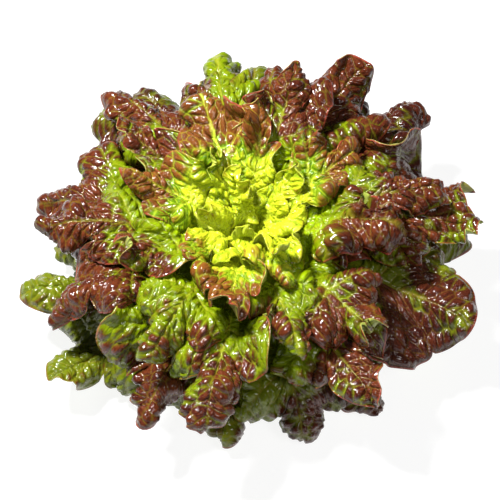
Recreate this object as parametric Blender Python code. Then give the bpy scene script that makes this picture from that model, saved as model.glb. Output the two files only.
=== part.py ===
"""A head of red oak leaf lettuce, cut at its stem and standing on the cut.

Every leaf is one closed blade that grows from the dome of a short stem. The leaves follow each other
round the stem at the golden angle, from the oldest, which spread on the table, to the youngest, which
stand up in the heart. Each blade is a fan of rays from its midrib, longer in the lobes and shorter in
the notches between them, and every ray bends to make the waves and the curled edges. The leaves are
placed from the outside in, and each new one is bent clear of those below it.

The leaves are worked out in millimetres and handed over in metres, +Z up. The origin is on the table,
in the middle of the cut stem.
"""

import math
import random
from dataclasses import dataclass, replace

import bpy
import numpy as np
from mathutils import Vector
from mathutils.bvhtree import BVHTree

METRES = 0.001

# The stem: a short column with a domed top, which the leaves grow from
STEM_CENTRE_HEIGHT = 27.0
STEM_DOME_RADIUS = 21.0
STEM_CUT_RADIUS = 15.0
STEM_SIDES = 24
STEM_DOME_RINGS = 9
ROOT_GAP = 0.4
ROOT_RADIUS = STEM_DOME_RADIUS + ROOT_GAP

# The head
LEAF_COUNT = 50
LEAVES_TO_AGE_ONE = 53
GOLDEN_ANGLE = 137.508
FIRST_AZIMUTH = -16.0
AZIMUTH_SPREAD = 9.0
OUTER_UNTIL = 0.28
MIDDLE_UNTIL = 0.66
ONE_LOBE_FROM = 0.8
SEED = 7

# Each pair is (age, value): age 0 is the oldest, outermost leaf and age 1 would be the youngest
RISE_BY_AGE = ((0, -2), (0.5, 42), (1, 76))
LENGTH_BY_AGE = ((0, 112), (0.12, 130), (0.25, 144), (0.5, 136), (0.66, 102), (0.8, 72), (1, 46))
REACH_BY_AGE = ((0, 46), (0.3, 47), (0.55, 38), (0.7, 27), (0.85, 19), (1, 12))
STALK_BY_AGE = ((0, 8), (0.5, 6), (1, 2))
ARCH_BY_AGE = ((0, 30), (0.1, 44), (0.2, 56), (0.4, 68), (0.6, 72), (0.75, 60), (0.88, 30), (1, -10))
FREEDOM_BY_AGE = ((0, 1), (0.7, 0.9), (1, 0.8))
ROLLED_UP_ABOVE = (0.66, 0.84, 1)

# How the midrib arches, as far as this share of its length, and how far a blade wraps round the stem
ARCH_POWER = 2.2
MIDRIB_END = 1.2
MIDRIB_PIECES = 96
MOST_WRAP = 1.3
WRAP_LIMIT = 1.7
WRAP_EASED_FROM = 0.35

# The outline of a blade: where its rays start, how they turn, and how long they are from tip to base
RAYS_A_LOBE = 4
STALK_SHARE = 0.25
STALK_CUP = 1.5
MIDRIB_SHARE = 0.49
BASE_RAY_ANGLE = 92.0
RAY_ANGLE_POWER = 2.3
RAY_PLACES = (0, 0.3, 0.8, 1)
TIP_RAY = 0.3
LOW_RAYS = (1, 0.86, 0.35)
LOBE_ROUNDNESS = 0.42
NOTCH_BLEND = 0.4

# How the rays bend: past the flat part near the rib, in waves, and puffed up in each lobe
CURL_FROM = 0.2
CURL_POWER = 1.3
WAVES_A_LOBE = 0.72
PUFF_END = 1.3

# The mesh of a blade
RAY_STEPS = 3
STEP_POWER = 0.8
BEND_PIECES = 24
STALK_ROWS = 2
BLADE_THICKNESS = 0.8
RIB_THICKNESS = 1.0
RIB_HALF_WIDTH = 5.0

# How a leaf is bent clear of those below it
TABLE_CLEARANCE = 0.25
CLEAR_GAP = 0.55
MOST_REACH = 22.0
LEAST_REACH = 3.0
REACH_SHARE = 0.6
LEAST_UPRIGHT = 0.35
CLEAR_ROUNDS = 14
SPREAD_ROUNDS = 3
SPREAD_SHARE = 0.7
MOST_LIFT = 30.0
PART_ROUNDS = 30
PART_STEP = 0.3
TEST_GAP = 0.15
EASE_ROUNDS = 7
EASE_STEP = 0.8
NARROWER_STEP = 0.9

# What is their own in the leaves that the photo shows clearly, by number
OWN_SHAPES = {
    3: {"length": 98},
    6: {"azimuth": 302, "length": 110},
    7: {"azimuth": 112, "rise": 15, "arch": 42, "length": 142},
    8: {"azimuth": 217, "rise": 6, "arch": 44, "length": 130, "twist": -8},
    9: {"length": 124},
    10: {"azimuth": 132, "rise": 20, "arch": 42, "length": 134},
    11: {"azimuth": 288, "arch": 84},
    12: {"azimuth": 48, "rise": 24, "length": 148, "arch": 52, "twist": -20},
    13: {"azimuth": 198, "length": 120},
    14: {
        "azimuth": 341,
        "rise": 20,
        "arch": 34,
        "length": 126,
        "reach": 54,
        "twist": 24,
        "fold": -6,
        "puff": 5,
        "ruffle": 12,
        "notch": 0.12,
        "curls": (-30, -35, -12, -8, -20, -35, -30),
    },
    15: {"azimuth": 93, "arch": 60, "length": 144},
    16: {"length": 118},
    17: {"azimuth": 13, "puff": 24, "ruffle": 26, "length": 128},
    18: {"length": 124},
    19: {"length": 126},
    20: {"azimuth": 66, "length": 120, "arch": 60},
    22: {"azimuth": 5, "length": 126},
    23: {"azimuth": 123},
    25: {"azimuth": 78, "length": 118},
    26: {"length": 124},
    27: {"azimuth": 312},
    28: {"azimuth": 104},
    33: {"length": 112},
}

COLOURS = {
    "stem": (0.55, 0.6, 0.35),
    "outer": (0.07, 0.03, 0.02),
    "middle": (0.11, 0.12, 0.03),
    "heart": (0.35, 0.5, 0.06),
}
ROUGHNESS = {"stem": 0.6, "outer": 0.3, "middle": 0.3, "heart": 0.35}


@dataclass
class Leaf:
    """One leaf: angles in degrees, lengths in millimetres."""

    name: str
    age: float
    lobes: int
    azimuth: float
    rise: float
    length: float
    reach: float
    stalk: float
    arch: float
    sway: float
    twist: float
    fold: float
    puff: float
    ruffle: float
    phase: float
    notch: float
    curls: tuple
    sizes: tuple


def by_age(stops, age):
    """The value at this age on a line through the stops."""
    return float(np.interp(age, [stop[0] for stop in stops], [stop[1] for stop in stops]))


def ring_of(age):
    """The part of the head that a leaf of this age belongs to."""
    if age < OUTER_UNTIL:
        return "outer"
    return "middle" if age < MIDDLE_UNTIL else "heart"


def lobes_of(age):
    """How many lobes a leaf of this age has on each side of its tip lobe."""
    return 2 if age < ONE_LOBE_FROM else 1


def draw_curl(draw, from_tip):
    """How far one lobe curls: half of them turn down, some stay flat, and some near the tip roll up."""
    kind = draw.random()
    if kind > ROLLED_UP_ABOVE[min(from_tip, 2)]:
        return draw.uniform(55, 120)
    return draw.uniform(-125, -50) if kind < 0.5 else draw.uniform(-45, 25)


def plan_leaf(number):
    """The leaf of this number, counted from the oldest."""
    draw = random.Random(SEED * 1000 + number)
    age = number / LEAVES_TO_AGE_ONE
    freedom = by_age(FREEDOM_BY_AGE, age)
    lobes = lobes_of(age)
    return Leaf(
        name=f"{ring_of(age)}_leaf_{number + 1:02d}",
        age=age,
        lobes=lobes,
        azimuth=FIRST_AZIMUTH + GOLDEN_ANGLE * number + draw.uniform(-1, 1) * AZIMUTH_SPREAD,
        rise=by_age(RISE_BY_AGE, age),
        length=by_age(LENGTH_BY_AGE, age) * draw.uniform(0.88, 1.06),
        reach=by_age(REACH_BY_AGE, age) * draw.uniform(0.9, 1.1),
        stalk=by_age(STALK_BY_AGE, age),
        arch=by_age(ARCH_BY_AGE, age) * draw.uniform(0.8, 1.2),
        sway=draw.uniform(-0.16, 0.16) * freedom,
        twist=draw.uniform(-26, 26) * freedom,
        fold=draw.uniform(-14, 14),
        puff=draw.uniform(10, 28) * freedom,
        ruffle=draw.uniform(25, 60) * freedom,
        phase=draw.random(),
        notch=draw.uniform(0.42, 0.56),
        curls=tuple(draw_curl(draw, abs(lobe)) * freedom for lobe in range(-lobes - 1, lobes + 2)),
        sizes=tuple(draw.uniform(0.84, 1.14) for _ in range(2 * lobes + 3)),
    )


def plan_leaves():
    """Every leaf of the head, from the oldest to the youngest."""
    leaves = [plan_leaf(number) for number in range(LEAF_COUNT)]
    return [replace(leaf, **OWN_SHAPES.get(place + 1, {})) for place, leaf in enumerate(leaves)]


def rays_of(leaf):
    """How many rays a leaf has on each side, out to the notch below its last lobe."""
    return leaf.lobes * RAYS_A_LOBE + RAYS_A_LOBE // 2


def lobe_wave(ray):
    """1 in the middle of each lobe and 0 in the notches, for a ray number from the tip."""
    return abs(math.cos(math.pi * ray / RAYS_A_LOBE)) ** LOBE_ROUNDNESS


def of_lobe(values, ray):
    """The value of the lobe that a ray is in, blended to its neighbour's in the notch between them."""
    place = ray / RAYS_A_LOBE + (len(values) - 1) / 2
    lobe = math.floor(place)
    blend = min(max((place - lobe - 0.5) / NOTCH_BLEND + 0.5, 0), 1)
    return values[lobe] * (1 - blend) + values[min(lobe + 1, len(values) - 1)] * blend


def ray_shape(leaf, ray):
    """Where a ray leaves the midrib, its angle from the tip's direction, its length, and its lobe's."""
    share = abs(ray) / rays_of(leaf)
    start = leaf.length * (STALK_SHARE + MIDRIB_SHARE * (1 - share))
    angle = math.radians(BASE_RAY_ANGLE) * (1 - (1 - share) ** RAY_ANGLE_POWER)
    lengths = [TIP_RAY * leaf.length] + [low * leaf.reach for low in LOW_RAYS]
    peak = float(np.interp(share, RAY_PLACES, lengths)) * of_lobe(leaf.sizes, ray)
    notched = peak * (1 - leaf.notch)
    length = notched + (peak - notched) * lobe_wave(ray)
    return start, math.copysign(angle, ray), max(length, leaf.stalk), peak


def ray_curl(leaf, ray, reached, ease):
    """The angle that a ray has turned through, up from the flat, at shares of its lobe's length."""
    place = ray / RAYS_A_LOBE
    past_rib = np.clip((reached - CURL_FROM) / (1 - CURL_FROM), 0, 1) ** CURL_POWER
    curl = of_lobe(leaf.curls, ray) * past_rib
    ruffle = leaf.ruffle * math.sin(2 * math.pi * (WAVES_A_LOBE * place + leaf.phase)) * reached**2
    puff = 2 * leaf.puff * math.cos(2 * math.pi * place) * reached * (PUFF_END - reached)
    return np.radians(ease * (leaf.fold * (1 - reached) + curl + ruffle + puff))


def run_along(turn, piece):
    """How far a line gets along and across, a piece at a time, with its angle at the end of each."""
    middle = (turn[1:] + turn[:-1]) / 2
    along = np.concatenate([[0], np.cumsum(np.cos(middle))]) * piece
    return along, np.concatenate([[0], np.cumsum(np.sin(middle))]) * piece


def ray_points(leaf, ray, steps, ease):
    """The points of a ray past the midrib: to the side, along the midrib, and up from the flat."""
    start, angle, length, peak = ray_shape(leaf, ray)
    fine = np.linspace(0, 1, BEND_PIECES + 1)
    away, height = run_along(ray_curl(leaf, ray, fine * length / peak, ease), length / BEND_PIECES)
    at = np.linspace(0, 1, steps + 1)[1:] ** STEP_POWER
    away = np.interp(at, fine, away)
    height = np.interp(at, fine, height)
    return np.stack([away * math.sin(angle), start + away * math.cos(angle), height], axis=1).tolist()


def stalk_point(leaf, share, across):
    """A point of the stalk, which ends in a curve that follows the dome of the stem."""
    side = across * leaf.stalk
    along = leaf.length * STALK_SHARE * share - (1 - share) * side**2 / (2 * ROOT_RADIUS)
    return side, along, STALK_CUP * across**2 * (1 - share)


def split_quad(a, b, c, d, mirrored):
    return [(a, b, d), (b, c, d)] if mirrored else [(a, b, c), (a, c, d)]


def flat_blade(leaf, steps, ease):
    """The points and triangles of a blade before it is bent to its place, and its points by ray and step.

    Rays run from the left of the stalk round the tip to its right, and both sides share the midrib."""
    rays = rays_of(leaf)
    points = [(0.0, ray_shape(leaf, ray)[0], 0.0) for ray in range(rays + 1)]
    grid = {}
    for ray in range(-rays, rays + 1):
        grid[ray, 0] = abs(ray)
        for step, point in enumerate(ray_points(leaf, ray, steps, ease)):
            grid[ray, step + 1] = len(points)
            points.append(point)
    triangles = []
    for ray in range(-rays, rays):
        for step in range(steps):
            near, far = (grid[ray, step], grid[ray + 1, step]), (grid[ray + 1, step + 1], grid[ray, step + 1])
            triangles += split_quad(*near, *far, ray < 0)
    return points, triangles, grid


def flat_leaf(leaf, steps, rows, ease):
    """A leaf before it is bent to its place: its points, its triangles and the points of its root."""
    points, triangles, grid = flat_blade(leaf, steps, ease)
    rays = rays_of(leaf)
    columns = range(-steps, steps + 1)
    above = [grid[int(math.copysign(rays, column)), abs(column)] for column in columns]
    for row in range(rows - 1, -1, -1):
        below = []
        for column in columns:
            below.append(len(points))
            points.append(stalk_point(leaf, row / rows, column / steps))
        for left in range(2 * steps):
            triangles += split_quad(below[left], below[left + 1], above[left + 1], above[left], left >= steps)
        above = below
    return np.array(points), np.array(triangles), above


def midrib_of(leaf, along):
    """The midrib's distance from the axis, its height and its slope, at distances along it."""
    share = np.linspace(0, MIDRIB_END, MIDRIB_PIECES + 1)
    slopes = np.radians(leaf.rise - leaf.arch * share**ARCH_POWER)
    out, up = run_along(slopes, share[1] * leaf.length)
    place = along / leaf.length
    from_centre = ROOT_RADIUS + np.minimum(along, 0)
    out = np.interp(place, share, out) + from_centre * math.cos(slopes[0])
    up = np.interp(place, share, up) + from_centre * math.sin(slopes[0]) + STEM_CENTRE_HEIGHT
    return out, up, np.interp(place, share, slopes)


def bend_to_place(leaf, flat):
    """The points of a flat leaf in the head, and the direction that is up for each of them.

    Across the midrib the blade follows the cone that its slope makes round the stem, so that leaves of
    different ages nest in each other."""
    side, along, height = flat.T
    out, up, slope = midrib_of(leaf, along)
    place = np.clip(along / leaf.length, 0, MIDRIB_END)
    azimuth = math.radians(leaf.azimuth)
    outward = np.array([math.cos(azimuth), math.sin(azimuth), 0])
    sideways = np.array([-math.sin(azimuth), math.cos(azimuth), 0])
    vertical = np.array([0, 0, 1])
    level = -np.sin(slope)[:, None] * outward + np.cos(slope)[:, None] * vertical
    twist = math.radians(leaf.twist) * place**1.5
    across = np.cos(twist)[:, None] * sideways + np.sin(twist)[:, None] * level
    face = np.cos(twist)[:, None] * level - np.sin(twist)[:, None] * sideways

    cone = np.sin(slope) / np.maximum(out, 1)
    eased = np.clip(place / WRAP_EASED_FROM, 0, 1)
    cup = cone / (1 + eased * np.maximum(cone, 0) * leaf.reach / MOST_WRAP)
    cup = np.where(np.abs(cup) < 1e-6, 1e-6, cup)
    wrap = np.clip(side * cup, -WRAP_LIMIT, WRAP_LIMIT)
    ups = np.cos(wrap)[:, None] * face - np.sin(wrap)[:, None] * across
    points = out[:, None] * outward + up[:, None] * vertical
    points += (np.sin(wrap) / cup)[:, None] * across + ((1 - np.cos(wrap)) / cup)[:, None] * face
    points += height[:, None] * ups + (leaf.sway * leaf.length * place**2)[:, None] * sideways
    return points, ups


def thickness_of(leaf, flat):
    """The blade's thickness at each point: fuller along the midrib, most of all at the stalk."""
    side, along, _ = flat.T
    rib = np.exp(-((side / RIB_HALF_WIDTH) ** 2)) * np.clip(1 - along / leaf.length, 0, 1)
    return BLADE_THICKNESS + RIB_THICKNESS * (1 - leaf.age) * rib


def point_normals(points, triangles):
    corners = points[triangles]
    faces = np.cross(corners[:, 1] - corners[:, 0], corners[:, 2] - corners[:, 0])
    normals = np.zeros_like(points)
    for corner in range(3):
        np.add.at(normals, triangles[:, corner], faces)
    return normals / np.maximum(np.linalg.norm(normals, axis=1, keepdims=True), 1e-9)


def rim_edges(triangles):
    """The edges that only one triangle has, each in its triangle's direction."""
    edges = {(corners[i], corners[(i + 1) % 3]) for corners in triangles.tolist() for i in range(3)}
    return sorted(edge for edge in edges if edge[::-1] not in edges)


def thicken(points, triangles, thickness):
    """A closed blade round a surface, split into triangles alike on both faces."""
    offset = point_normals(points, triangles) * thickness[:, None] / 2
    count = len(points)
    faces = triangles.tolist() + [(c + count, b + count, a + count) for a, b, c in triangles.tolist()]
    for start, end in rim_edges(triangles):
        faces += [(end, start, start + count), (end, start + count, end + count)]
    return np.concatenate([points + offset, points - offset]), faces


def tree_of(vertices, faces):
    return BVHTree.FromPolygons([Vector(vertex) for vertex in vertices], faces, epsilon=0.0)


def sample_points(points, ups, triangles):
    """Points all over the surface, the direction that is up there, and the corners each one stands for."""
    shares = np.array([(1, 1, 1), (1, 1, 0), (0, 1, 1), (1, 0, 1)], float)
    shares /= shares.sum(axis=1, keepdims=True)
    where = [points] + [np.tensordot(points[triangles], share, (1, 0)) for share in shares]
    up = [ups] + [np.tensordot(ups[triangles], share, (1, 0)) for share in shares]
    alone = np.repeat(np.arange(len(points))[:, None], 3, axis=1)
    return np.concatenate(where), np.concatenate(up), np.concatenate([alone] + [triangles] * len(shares))


def needed_lift(where, up, half, tree):
    """How far a point has to move up to stand clear of what lies over or just under it."""
    need = (TABLE_CLEARANCE + half - where[2]) / max(up[2], LEAST_UPRIGHT)
    if tree:
        reach = min(MOST_REACH, max(LEAST_REACH, REACH_SHARE * math.hypot(where[0], where[1])))
        hit = tree.ray_cast(Vector(where + up * reach), Vector(-up), reach + half + CLEAR_GAP)
        if hit[0] is not None:
            need = max(need, reach - hit[3] + half + CLEAR_GAP)
    return max(need, 0.0)


def neighbours_of(count, triangles):
    neighbours = [set() for _ in range(count)]
    for a, b, c in triangles.tolist():
        neighbours[a] |= {b, c}
        neighbours[b] |= {a, c}
        neighbours[c] |= {a, b}
    return neighbours


def pin_to_stem(points, root):
    """Slides the end of the stalk back onto its place round the dome of the stem."""
    centre = np.array([0, 0, STEM_CENTRE_HEIGHT])
    away = points[root] - centre
    points[root] = centre + away * (ROOT_RADIUS / np.linalg.norm(away, axis=1))[:, None]


def bend_clear(points, ups, triangles, thickness, root, tree):
    """Raises a leaf, along its own up directions, until it clears the leaves below it and the table."""
    neighbours = neighbours_of(len(points), triangles)
    total = np.zeros(len(points))
    for turn in range(CLEAR_ROUNDS):
        where, up, corners = sample_points(points, ups, triangles)
        half = thickness[corners].max(axis=1) / 2
        lift = np.zeros(len(points))
        for index in range(len(where)):
            need = needed_lift(where[index], up[index], half[index], tree)
            lift[corners[index]] = np.maximum(lift[corners[index]], need)
        if lift.max() < 1e-3:
            break
        if turn < SPREAD_ROUNDS:
            for _ in range(2):
                lift = np.maximum(lift, [SPREAD_SHARE * max(lift[n] for n in near) for near in neighbours])
        lift = np.minimum(lift, MOST_LIFT - total)
        points = points + ups * lift[:, None]
        pin_to_stem(points, root)
        total += lift
    return points, total


def part_crossings(points, ups, triangles, thickness, root, tree):
    """Raises the corners of the last triangles that still cross a leaf below, a little at a time."""
    count = len(points)
    crossed = set()
    for _ in range(PART_ROUNDS):
        near, faces = thicken(points, triangles, thickness + 2 * TEST_GAP)
        crossed = {pair[0] for pair in tree_of(near, faces).overlap(tree)}
        if not crossed:
            break
        moved = sorted({corner % count for face in crossed for corner in faces[face]})
        points[moved] += ups[moved] * PART_STEP
        pin_to_stem(points, root)
    return points, len(crossed)


def self_crossings(vertices, faces):
    """How many pairs of a blade's triangles cross each other without sharing a corner."""
    tree = tree_of(vertices, faces)
    return sum(1 for a, b in tree.overlap(tree) if a < b and not set(faces[a]) & set(faces[b]))


def grow_leaf(leaf, tree):
    """The closed blade of a leaf in its place, made flatter and narrower until it crosses nothing."""
    ease = 1.0
    for _ in range(EASE_ROUNDS):
        flat, triangles, root = flat_leaf(leaf, RAY_STEPS, STALK_ROWS, ease)
        points, ups = bend_to_place(leaf, flat)
        thickness = thickness_of(leaf, flat)
        points, total = bend_clear(points, ups, triangles, thickness, root, tree)
        crossed = 0
        if tree:
            points, crossed = part_crossings(points, ups, triangles, thickness, root, tree)
        vertices, faces = thicken(points, triangles, thickness)
        own = self_crossings(vertices, faces)
        if crossed + own == 0:
            break
        ease *= EASE_STEP
        leaf = replace(leaf, reach=leaf.reach * NARROWER_STEP)
    print(f"{leaf.name}: raised up to {total.max():.1f} mm, ease {ease:.2f}, crossings {crossed} and {own}")
    return vertices, faces


def grow_head():
    """The closed blade of each leaf, as its leaf, vertices and faces."""
    placed = []
    all_vertices, all_faces = [], []
    for leaf in plan_leaves():
        tree = tree_of(all_vertices, all_faces) if placed else None
        vertices, faces = grow_leaf(leaf, tree)
        base = len(all_vertices)
        all_vertices += vertices.tolist()
        all_faces += [tuple(corner + base for corner in face) for face in faces]
        placed.append((leaf, vertices, faces))
    return placed


def stem_solid():
    """The stem as a turned solid: a flat cut, a straight side and a domed top."""
    lowest = -math.acos(STEM_CUT_RADIUS / STEM_DOME_RADIUS)
    angles = np.linspace(lowest, math.pi / 2, STEM_DOME_RINGS + 1)[:-1]
    rings = [(STEM_CUT_RADIUS, 0.0)]
    for angle in angles:
        rings.append((STEM_DOME_RADIUS * math.cos(angle), STEM_CENTRE_HEIGHT + STEM_DOME_RADIUS * math.sin(angle)))
    vertices = []
    for radius, height in rings:
        for side in range(STEM_SIDES):
            turn = 2 * math.pi * side / STEM_SIDES
            vertices.append((radius * math.cos(turn), radius * math.sin(turn), height))
    bottom, top = len(vertices), len(vertices) + 1
    vertices += [(0, 0, 0), (0, 0, STEM_CENTRE_HEIGHT + STEM_DOME_RADIUS)]
    faces = []
    last = (len(rings) - 1) * STEM_SIDES
    for side in range(STEM_SIDES):
        following = (side + 1) % STEM_SIDES
        faces += [(bottom, following, side), (top, last + side, last + following)]
        for ring in range(0, last, STEM_SIDES):
            below, above = (ring + side, ring + following), (ring + STEM_SIDES + following, ring + STEM_SIDES + side)
            faces += split_quad(*below, *above, False)
    return vertices, faces


def add_object(name, vertices, faces, ring):
    """A named object with its own plain material."""
    mesh = bpy.data.meshes.new(name)
    mesh.from_pydata((np.asarray(vertices) * METRES).tolist(), [], faces)
    material = bpy.data.materials.new(name)
    material.use_nodes = True
    shader = material.node_tree.nodes["Principled BSDF"]
    shader.inputs["Base Color"].default_value = (*COLOURS[ring], 1)
    shader.inputs["Roughness"].default_value = ROUGHNESS[ring]
    mesh.materials.append(material)
    bpy.context.collection.objects.link(bpy.data.objects.new(name, mesh))


def main():
    for old in list(bpy.data.objects):
        bpy.data.objects.remove(old)
    add_object("stem", *stem_solid(), "stem")
    for leaf, vertices, faces in grow_head():
        add_object(leaf.name, vertices, faces, ring_of(leaf.age))


main()
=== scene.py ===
# %% [markdown]
# # A head of red oak leaf lettuce
#
# The head stands on its cut stem, with fifty leaves at the golden angle, the oldest spread on the
# table and the youngest crumpled in the heart. The model's fixed frame holds a plain blade for each
# leaf. This lesson grows each blade again from the same rules with a finer skin, and gives it ribs,
# blisters, frilled edges and the colours of a fresh leaf.

# %% The fixed frame
import math
import random
from collections import namedtuple

import bpy
import numpy as np
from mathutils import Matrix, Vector
from mathutils.bvhtree import BVHTree


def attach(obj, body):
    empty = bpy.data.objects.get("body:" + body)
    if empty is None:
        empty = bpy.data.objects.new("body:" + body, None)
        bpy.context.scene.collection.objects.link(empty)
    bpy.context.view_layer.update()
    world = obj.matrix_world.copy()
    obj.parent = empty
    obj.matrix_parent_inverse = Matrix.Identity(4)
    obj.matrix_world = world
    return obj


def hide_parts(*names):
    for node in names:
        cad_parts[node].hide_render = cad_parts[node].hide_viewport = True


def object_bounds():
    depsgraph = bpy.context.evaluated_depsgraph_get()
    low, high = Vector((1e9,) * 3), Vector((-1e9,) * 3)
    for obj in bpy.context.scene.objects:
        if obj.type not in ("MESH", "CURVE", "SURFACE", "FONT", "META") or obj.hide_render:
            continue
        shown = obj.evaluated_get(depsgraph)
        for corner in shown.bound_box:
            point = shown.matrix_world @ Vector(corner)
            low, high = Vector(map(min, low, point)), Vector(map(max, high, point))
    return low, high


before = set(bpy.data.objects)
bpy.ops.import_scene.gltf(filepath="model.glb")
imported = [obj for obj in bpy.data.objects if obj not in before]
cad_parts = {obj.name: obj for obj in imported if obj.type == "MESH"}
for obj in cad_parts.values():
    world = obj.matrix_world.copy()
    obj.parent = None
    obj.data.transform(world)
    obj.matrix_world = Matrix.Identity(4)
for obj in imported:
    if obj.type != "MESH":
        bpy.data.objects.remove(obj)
frame_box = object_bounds()
MILLIMETRE = 0.001
leaf_nodes = sorted(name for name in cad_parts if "_leaf_" in name)
width = (frame_box[1][0] - frame_box[0][0]) / MILLIMETRE
print(f"{len(leaf_nodes)} leaves and a stem, {width:.0f} mm across")

# %% [markdown]
# ## The plan of the head
#
# A lettuce is a rosette: each new leaf starts about 137.5 degrees round the stem from the last one, so
# no leaf hides the one before. Age 0 is the oldest leaf and age 1 the youngest. The plain blades were
# planned with these same values, so the finer leaves land where the plain ones are. A head could also
# be sculpted leaf by leaf, but a rule keeps the spiral that makes it look grown.

# %% Values shared with the plain blades, in millimetres and degrees
STEM_CENTRE_HEIGHT, STEM_DOME_RADIUS, STEM_CUT_RADIUS = 27.0, 21.0, 15.0
ROOT_RADIUS = STEM_DOME_RADIUS + 0.4
LEAF_COUNT, LEAVES_TO_AGE_ONE, SEED = 50, 53, 7
GOLDEN_ANGLE, FIRST_AZIMUTH, AZIMUTH_SPREAD = 137.508, -16.0, 9.0
RINGS = ("outer", "middle", "heart")
OUTER_UNTIL, MIDDLE_UNTIL, ONE_LOBE_FROM = 0.28, 0.66, 0.8
RISE_BY_AGE = ((0, -2), (0.5, 42), (1, 76))
LENGTH_BY_AGE = ((0, 112), (0.12, 130), (0.25, 144), (0.5, 136), (0.66, 102), (0.8, 72), (1, 46))
REACH_BY_AGE = ((0, 46), (0.3, 47), (0.55, 38), (0.7, 27), (0.85, 19), (1, 12))
STALK_BY_AGE = ((0, 8), (0.5, 6), (1, 2))
ARCH_BY_AGE = ((0, 30), (0.1, 44), (0.2, 56), (0.4, 68), (0.6, 72), (0.75, 60), (0.88, 30), (1, -10))
FREEDOM_BY_AGE = ((0, 1), (0.7, 0.9), (1, 0.8))
ROLLED_UP_ABOVE = (0.66, 0.84, 1)
ARCH_POWER, MIDRIB_END, MIDRIB_PIECES = 2.2, 1.2, 96
MOST_WRAP, WRAP_LIMIT, WRAP_EASED_FROM = 1.3, 1.7, 0.35
STALK_SHARE, STALK_CUP, MIDRIB_SHARE = 0.25, 1.5, 0.49
RAYS_A_LOBE, BASE_RAY_ANGLE, RAY_ANGLE_POWER = 4, 92.0, 2.3
RAY_PLACES, TIP_RAY, LOW_RAYS = (0, 0.3, 0.8, 1), 0.3, (1, 0.86, 0.35)
LOBE_ROUNDNESS, NOTCH_BLEND = 0.42, 0.4
CURL_FROM, CURL_POWER, WAVES_A_LOBE, PUFF_END = 0.2, 1.3, 0.72, 1.3
RAY_STEPS, STEP_POWER, BEND_PIECES, STALK_ROWS = 3, 0.8, 24, 2
BLADE_THICKNESS, RIB_THICKNESS, RIB_HALF_WIDTH = 0.8, 1.0, 5.0
TABLE_CLEARANCE, CLEAR_GAP, LEAST_UPRIGHT = 0.25, 0.55, 0.35
MOST_REACH, LEAST_REACH, REACH_SHARE = 22.0, 3.0, 0.6
CLEAR_ROUNDS, SPREAD_ROUNDS, SPREAD_SHARE, MOST_LIFT = 14, 3, 0.7, 30.0
PART_ROUNDS, PART_STEP, TEST_GAP = 30, 0.3, 0.15
EASE_ROUNDS, EASE_STEP, NARROWER_STEP = 7, 0.8, 0.9
OWN_SHAPES = {
    3: {"length": 98},
    6: {"azimuth": 302, "length": 110},
    7: {"azimuth": 112, "rise": 15, "arch": 42, "length": 142},
    8: {"azimuth": 217, "rise": 6, "arch": 44, "length": 130, "twist": -8},
    9: {"length": 124},
    10: {"azimuth": 132, "rise": 20, "arch": 42, "length": 134},
    11: {"azimuth": 288, "arch": 84},
    12: {"azimuth": 48, "rise": 24, "length": 148, "arch": 52, "twist": -20},
    13: {"azimuth": 198, "length": 120},
    14: {
        "azimuth": 341, "rise": 20, "arch": 34, "length": 126, "reach": 54, "twist": 24, "fold": -6,
        "puff": 5, "ruffle": 12, "notch": 0.12, "curls": (-30, -35, -12, -8, -20, -35, -30),
    },
    15: {"azimuth": 93, "arch": 60, "length": 144},
    16: {"length": 118},
    17: {"azimuth": 13, "puff": 24, "ruffle": 26, "length": 128},
    18: {"length": 124},
    19: {"length": 126},
    20: {"azimuth": 66, "length": 120, "arch": 60},
    22: {"azimuth": 5, "length": 126},
    23: {"azimuth": 123},
    25: {"azimuth": 78, "length": 118},
    26: {"length": 124},
    27: {"azimuth": 312},
    28: {"azimuth": 104},
    33: {"length": 112},
}


# %% One leaf's plan
# angles in degrees, lengths in millimetres
Leaf = namedtuple("Leaf", (
    "name age lobes azimuth rise length reach stalk arch sway twist fold "
    "puff ruffle phase notch curls sizes"
))


def by_age(stops, age):
    """The value at this age on a line through the stops."""
    return float(np.interp(age, [stop[0] for stop in stops], [stop[1] for stop in stops]))


def ring_of(age):
    """The part of the head that a leaf of this age belongs to."""
    return RINGS[(age >= OUTER_UNTIL) + (age >= MIDDLE_UNTIL)]


def of_ring(values, leaf):
    """The value for the leaf's ring, from one for each ring."""
    return values[RINGS.index(ring_of(leaf.age))]


def lobes_of(age):
    """How many lobes a leaf of this age has on each side of its tip lobe."""
    return 2 if age < ONE_LOBE_FROM else 1


def draw_curl(draw, from_tip):
    """How far one lobe curls: half turn down, some stay flat, and some near the tip roll up."""
    kind = draw.random()
    if kind > ROLLED_UP_ABOVE[min(from_tip, 2)]:
        return draw.uniform(55, 120)
    return draw.uniform(-125, -50) if kind < 0.5 else draw.uniform(-45, 25)


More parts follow.
